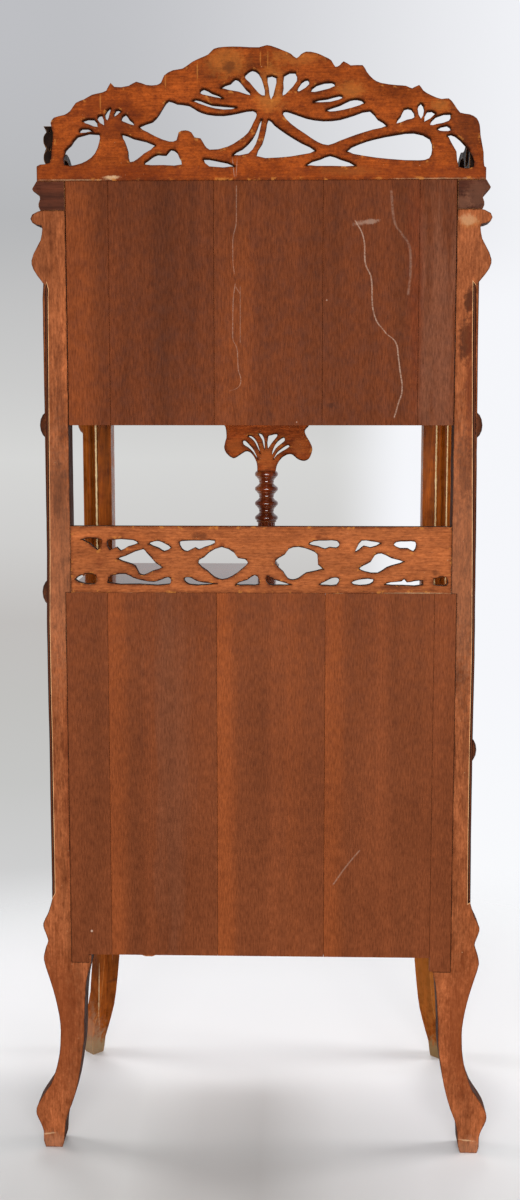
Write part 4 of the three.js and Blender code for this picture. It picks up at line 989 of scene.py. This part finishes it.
orange_streak = colour_of(156, 78, 34)
grey_haze = colour_of(134, 88, 66)
upper_streaks = [
    (orange_streak, 0.25, (0.03, 1.2, 0.02, 0.24)),
    (dark_stain, 0.2, (0.12, 1.3, 0.05, 0.2)),
    (red_brown, 0.35, (-0.215, 1.25, 0.012, 0.14)),
    (grey_haze, 0.3, (-0.25, 1.2, 0.025, 0.22)),
]
upper_marks = [
    (chalk, 0.35, (-0.147, 1.3632, 0.018, 0.0035, 8.0)),
    (chalk, 0.55, (-0.0925, 1.2568, 0.0011, 0.0011)),
    (chalk, 0.5, (-0.0511, 1.0877, 0.0011, 0.0011)),
    (dark_stain, 0.6, (-0.0996, 1.1114, 0.005, 0.004)),
]
upper_hair_pixels = [(236, 185), (236, 220), (232.5, 241), (232.5, 255), (234, 274)]
short_hair_pixels = [(240, 286), (240, 343)]
bent_hair_pixels = [
    (235, 283), (233, 300), (232.5, 336), (237, 350), (238, 369), (240.6, 381), (229, 391),
]
loop_pixels = [(235, 286), (240, 294)]
bright_pixels = [
    (355, 220), (364, 241), (365, 262), (371, 278), (373, 310), (385, 332), (397, 346),
    (398, 355), (400, 371), (402, 388), (398, 404), (394, 418),
]
faint_pixels = [(391, 190), (394, 220), (402, 234), (410, 250), (410.5, 267), (408, 295)]
upper_scratches = [
    (upper_hair_pixels, 0.0006, 0.3),
    (short_hair_pixels, 0.0005, 0.25),
    (bent_hair_pixels, 0.0006, 0.35),
    (loop_pixels, 0.0006, 0.25),
    (bright_pixels, 0.0009, 0.6),
    (faint_pixels, 0.0016, 0.2),
]
lower_streaks = [
    (dark_stain, 0.15, (0.16, 0.75, 0.02, 0.2)),
    (grey_haze, 0.15, (0.13, 0.6, 0.03, 0.3)),
    (orange_streak, 0.12, (-0.05, 0.62, 0.014, 0.4)),
]
lower_marks = [
    (chalk, 0.8, (0.2498, 0.3393, 0.0016, 0.0016)),
    (chalk, 0.8, (-0.2555, 0.277, 0.0016, 0.0016)),
]
low_scratch_pixels = [(333, 885), (345, 868), (360, 850)]
lower_scratches = [(low_scratch_pixels, 0.0012, 0.3)]
upper_board_wood = board_finish(
    "upper_board_wood", tones_round(99, 49, 25, 0.075), [(0.2718, 0.06, 0.3), (0.0652, 0.03, 0.12)],
    upper_streaks, upper_marks, upper_scratches,
)
lower_board_wood = board_finish(
    "lower_board_wood", tones_round(112, 58, 31, 0.065),
    [(0.22, 0.034, 0.32), (0.063, 0.036, 0.42), (-0.093, 0.038, 0.34)],
    lower_streaks, lower_marks, lower_scratches,
)
for tier, finish in (("upper", upper_board_wood), ("lower", lower_board_wood)):
    for n in range(1, boards_in_panel + 1):
        finished_copy(
            f"{tier}_back_board_{n}", [finish], board_edge,
            carve=joint_tongue if n < boards_in_panel else None,
        )

# The cornice: one dark moulding round three sides of the case, mitred at the front corners. Its
# polish has worn to orange at one rear end.
worn_orange = colour_of(158, 104, 76)
cornice_wood = polished_finish(
    "cornice_wood", level_grain, tones_round(76, 38, 24, 0.2), roughness=0.4, gloss=0.04,
    marks=[
        (worn_orange, 0.2, (-0.302, 1.4, 0.02, 0.02)),
        (worn_orange, 0.25, (-0.28, 1.39, 0.012, 0.01)),
    ],
)
for node in ("cornice_left", "cornice_right", "cornice_front"):
    finished_copy(node, [cornice_wood], crisp_edge)

# The top board, and the low pierced galleries that run forward from the crest along its sides. The
# galleries are painted almost black, dark wood darkened further as painted shade, with small lobes
# along their outer faces.
finished_copy("top_board", [level_polished], soft_edge)
forward_grain = (1.0, 0.07, 1.0)
# Dark wood, darkened further as painted shade.
side_gallery_shaded_wood = polished_finish(
    "side_gallery_shaded_wood", forward_grain, tones_round(30, 17, 11, 0.3), roughness=0.4, gloss=0.03
)
gallery_edge = 0.0016
gallery_wear = 0.0008
lobe_tall = 0.024
lobe_deep = 0.006
lobe_lean = 0.6
lobe_shape = 1.5
plain_foot = 0.004


def cut_lobes(bm):
    """Notches the outer face of a side gallery, so that it is a row of rounded lobes."""
    foot = min(vert.co.z for vert in bm.verts)
    xs = [abs(vert.co.x) for vert in bm.verts]
    middle = (min(xs) + max(xs)) / 2
    for vert in bm.verts:
        if abs(vert.co.x) > middle and vert.co.z > foot + plain_foot:
            along = vert.co.z - foot + lobe_lean * (vert.co.y - rear_y)
            swell = abs(math.sin(math.pi * along / lobe_tall))
            vert.co.x -= math.copysign(lobe_deep * (1 - swell) ** lobe_shape, vert.co.x)


for side in ("left", "right"):
    finished_copy(
        "crest_side_" + side, [side_gallery_shaded_wood], gallery_edge, carve_step,
        gallery_wear, cut_lobes,
    )

# The crest: one wide board, sawn and pierced with stems and umbels, redder than the legs, with
# ochre places on top. Its front is carved round and its rear is hollowed over the slits. A raw
# rail runs below it, under the top board.
crest_step = 0.0028
rail_red = colour_of(112, 44, 18)
crest_marks = [
    (red_brown, 0.4, (0.215, 1.508, 0.05, 0.03)),
    (dark_stain, 0.5, (-0.282, 1.485, 0.024, 0.045)),
    (red_brown, 0.3, (-0.28, 1.43, 0.03, 0.012)),
    (ochre, 0.3, (-0.1233, 1.54, 0.02, 0.012)),
    (ochre, 0.3, (-0.2466, 1.519, 0.014, 0.01)),
    (rail_red, 0.3, (0.2, 1.43, 0.2, 0.012)),
    (rail_red, 0.3, (-0.2, 1.43, 0.2, 0.012)),
    (ochre, 0.25, (-0.05, 1.585, 0.04, 0.012)),
    (chalk, 0.4, (0.0375, 1.4365, 0.0006, 0.012, 6.0)),
    (chalk, 0.35, (0.033, 1.437, 0.0005, 0.014, -4.0)),
    (ochre, 0.3, (0.048, 1.578, 0.03, 0.022)),
    (dark_stain, 0.6, (0.0433, 1.5713, 0.009, 0.009)),
    (dark_stain, 0.35, (0.075, 1.565, 0.02, 0.012)),
    (dark_stain, 0.3, (0.01, 1.578, 0.01, 0.012)),
    (ochre, 0.5, (0.0867, 1.5676, 0.0009, 0.016)),
    (ochre, 0.5, (0.2209, 1.5254, 0.0012, 0.012)),
    (ochre, 0.45, (0.1308, 1.5547, 0.0011, 0.012)),
    (ochre, 0.5, (0.0, 1.582, 0.0009, 0.01)),
    (ochre, 0.4, (-0.01, 1.58, 0.0009, 0.012)),
    (pale_wear, 0.8, (0.207, 1.4245, 0.011, 0.0028)),
    (ochre, 0.3, (-0.015, 1.55, 0.02, 0.025)),
    (ochre, 0.3, (-0.012, 1.525, 0.02, 0.014)),
    (ochre, 0.12, (-0.12, 1.433, 0.04, 0.008)),
    (pale_wear, 0.6, (0.26, 1.4214, 0.05, 0.0009)),
    (pale_wear, 0.5, (-0.242, 1.4214, 0.065, 0.0009)),
    (dark_stain, 0.2, (-0.22, 1.45, 0.03, 0.015)),
]
crest_wood = raw_finish(
    "crest_wood", level_grain, tones_round(142, 65, 21, 0.08), crest_marks, outline=0.003,
    least=0.7,
)
carved_copy(
    "crest_panel", crest_wood, crest_step, front_deep=0.0045, rear_deep=0.0035, rear_reach=0.0035
)
finished_copy("rear_top_rail", [crest_wood, worn_arris], sawn_edge)
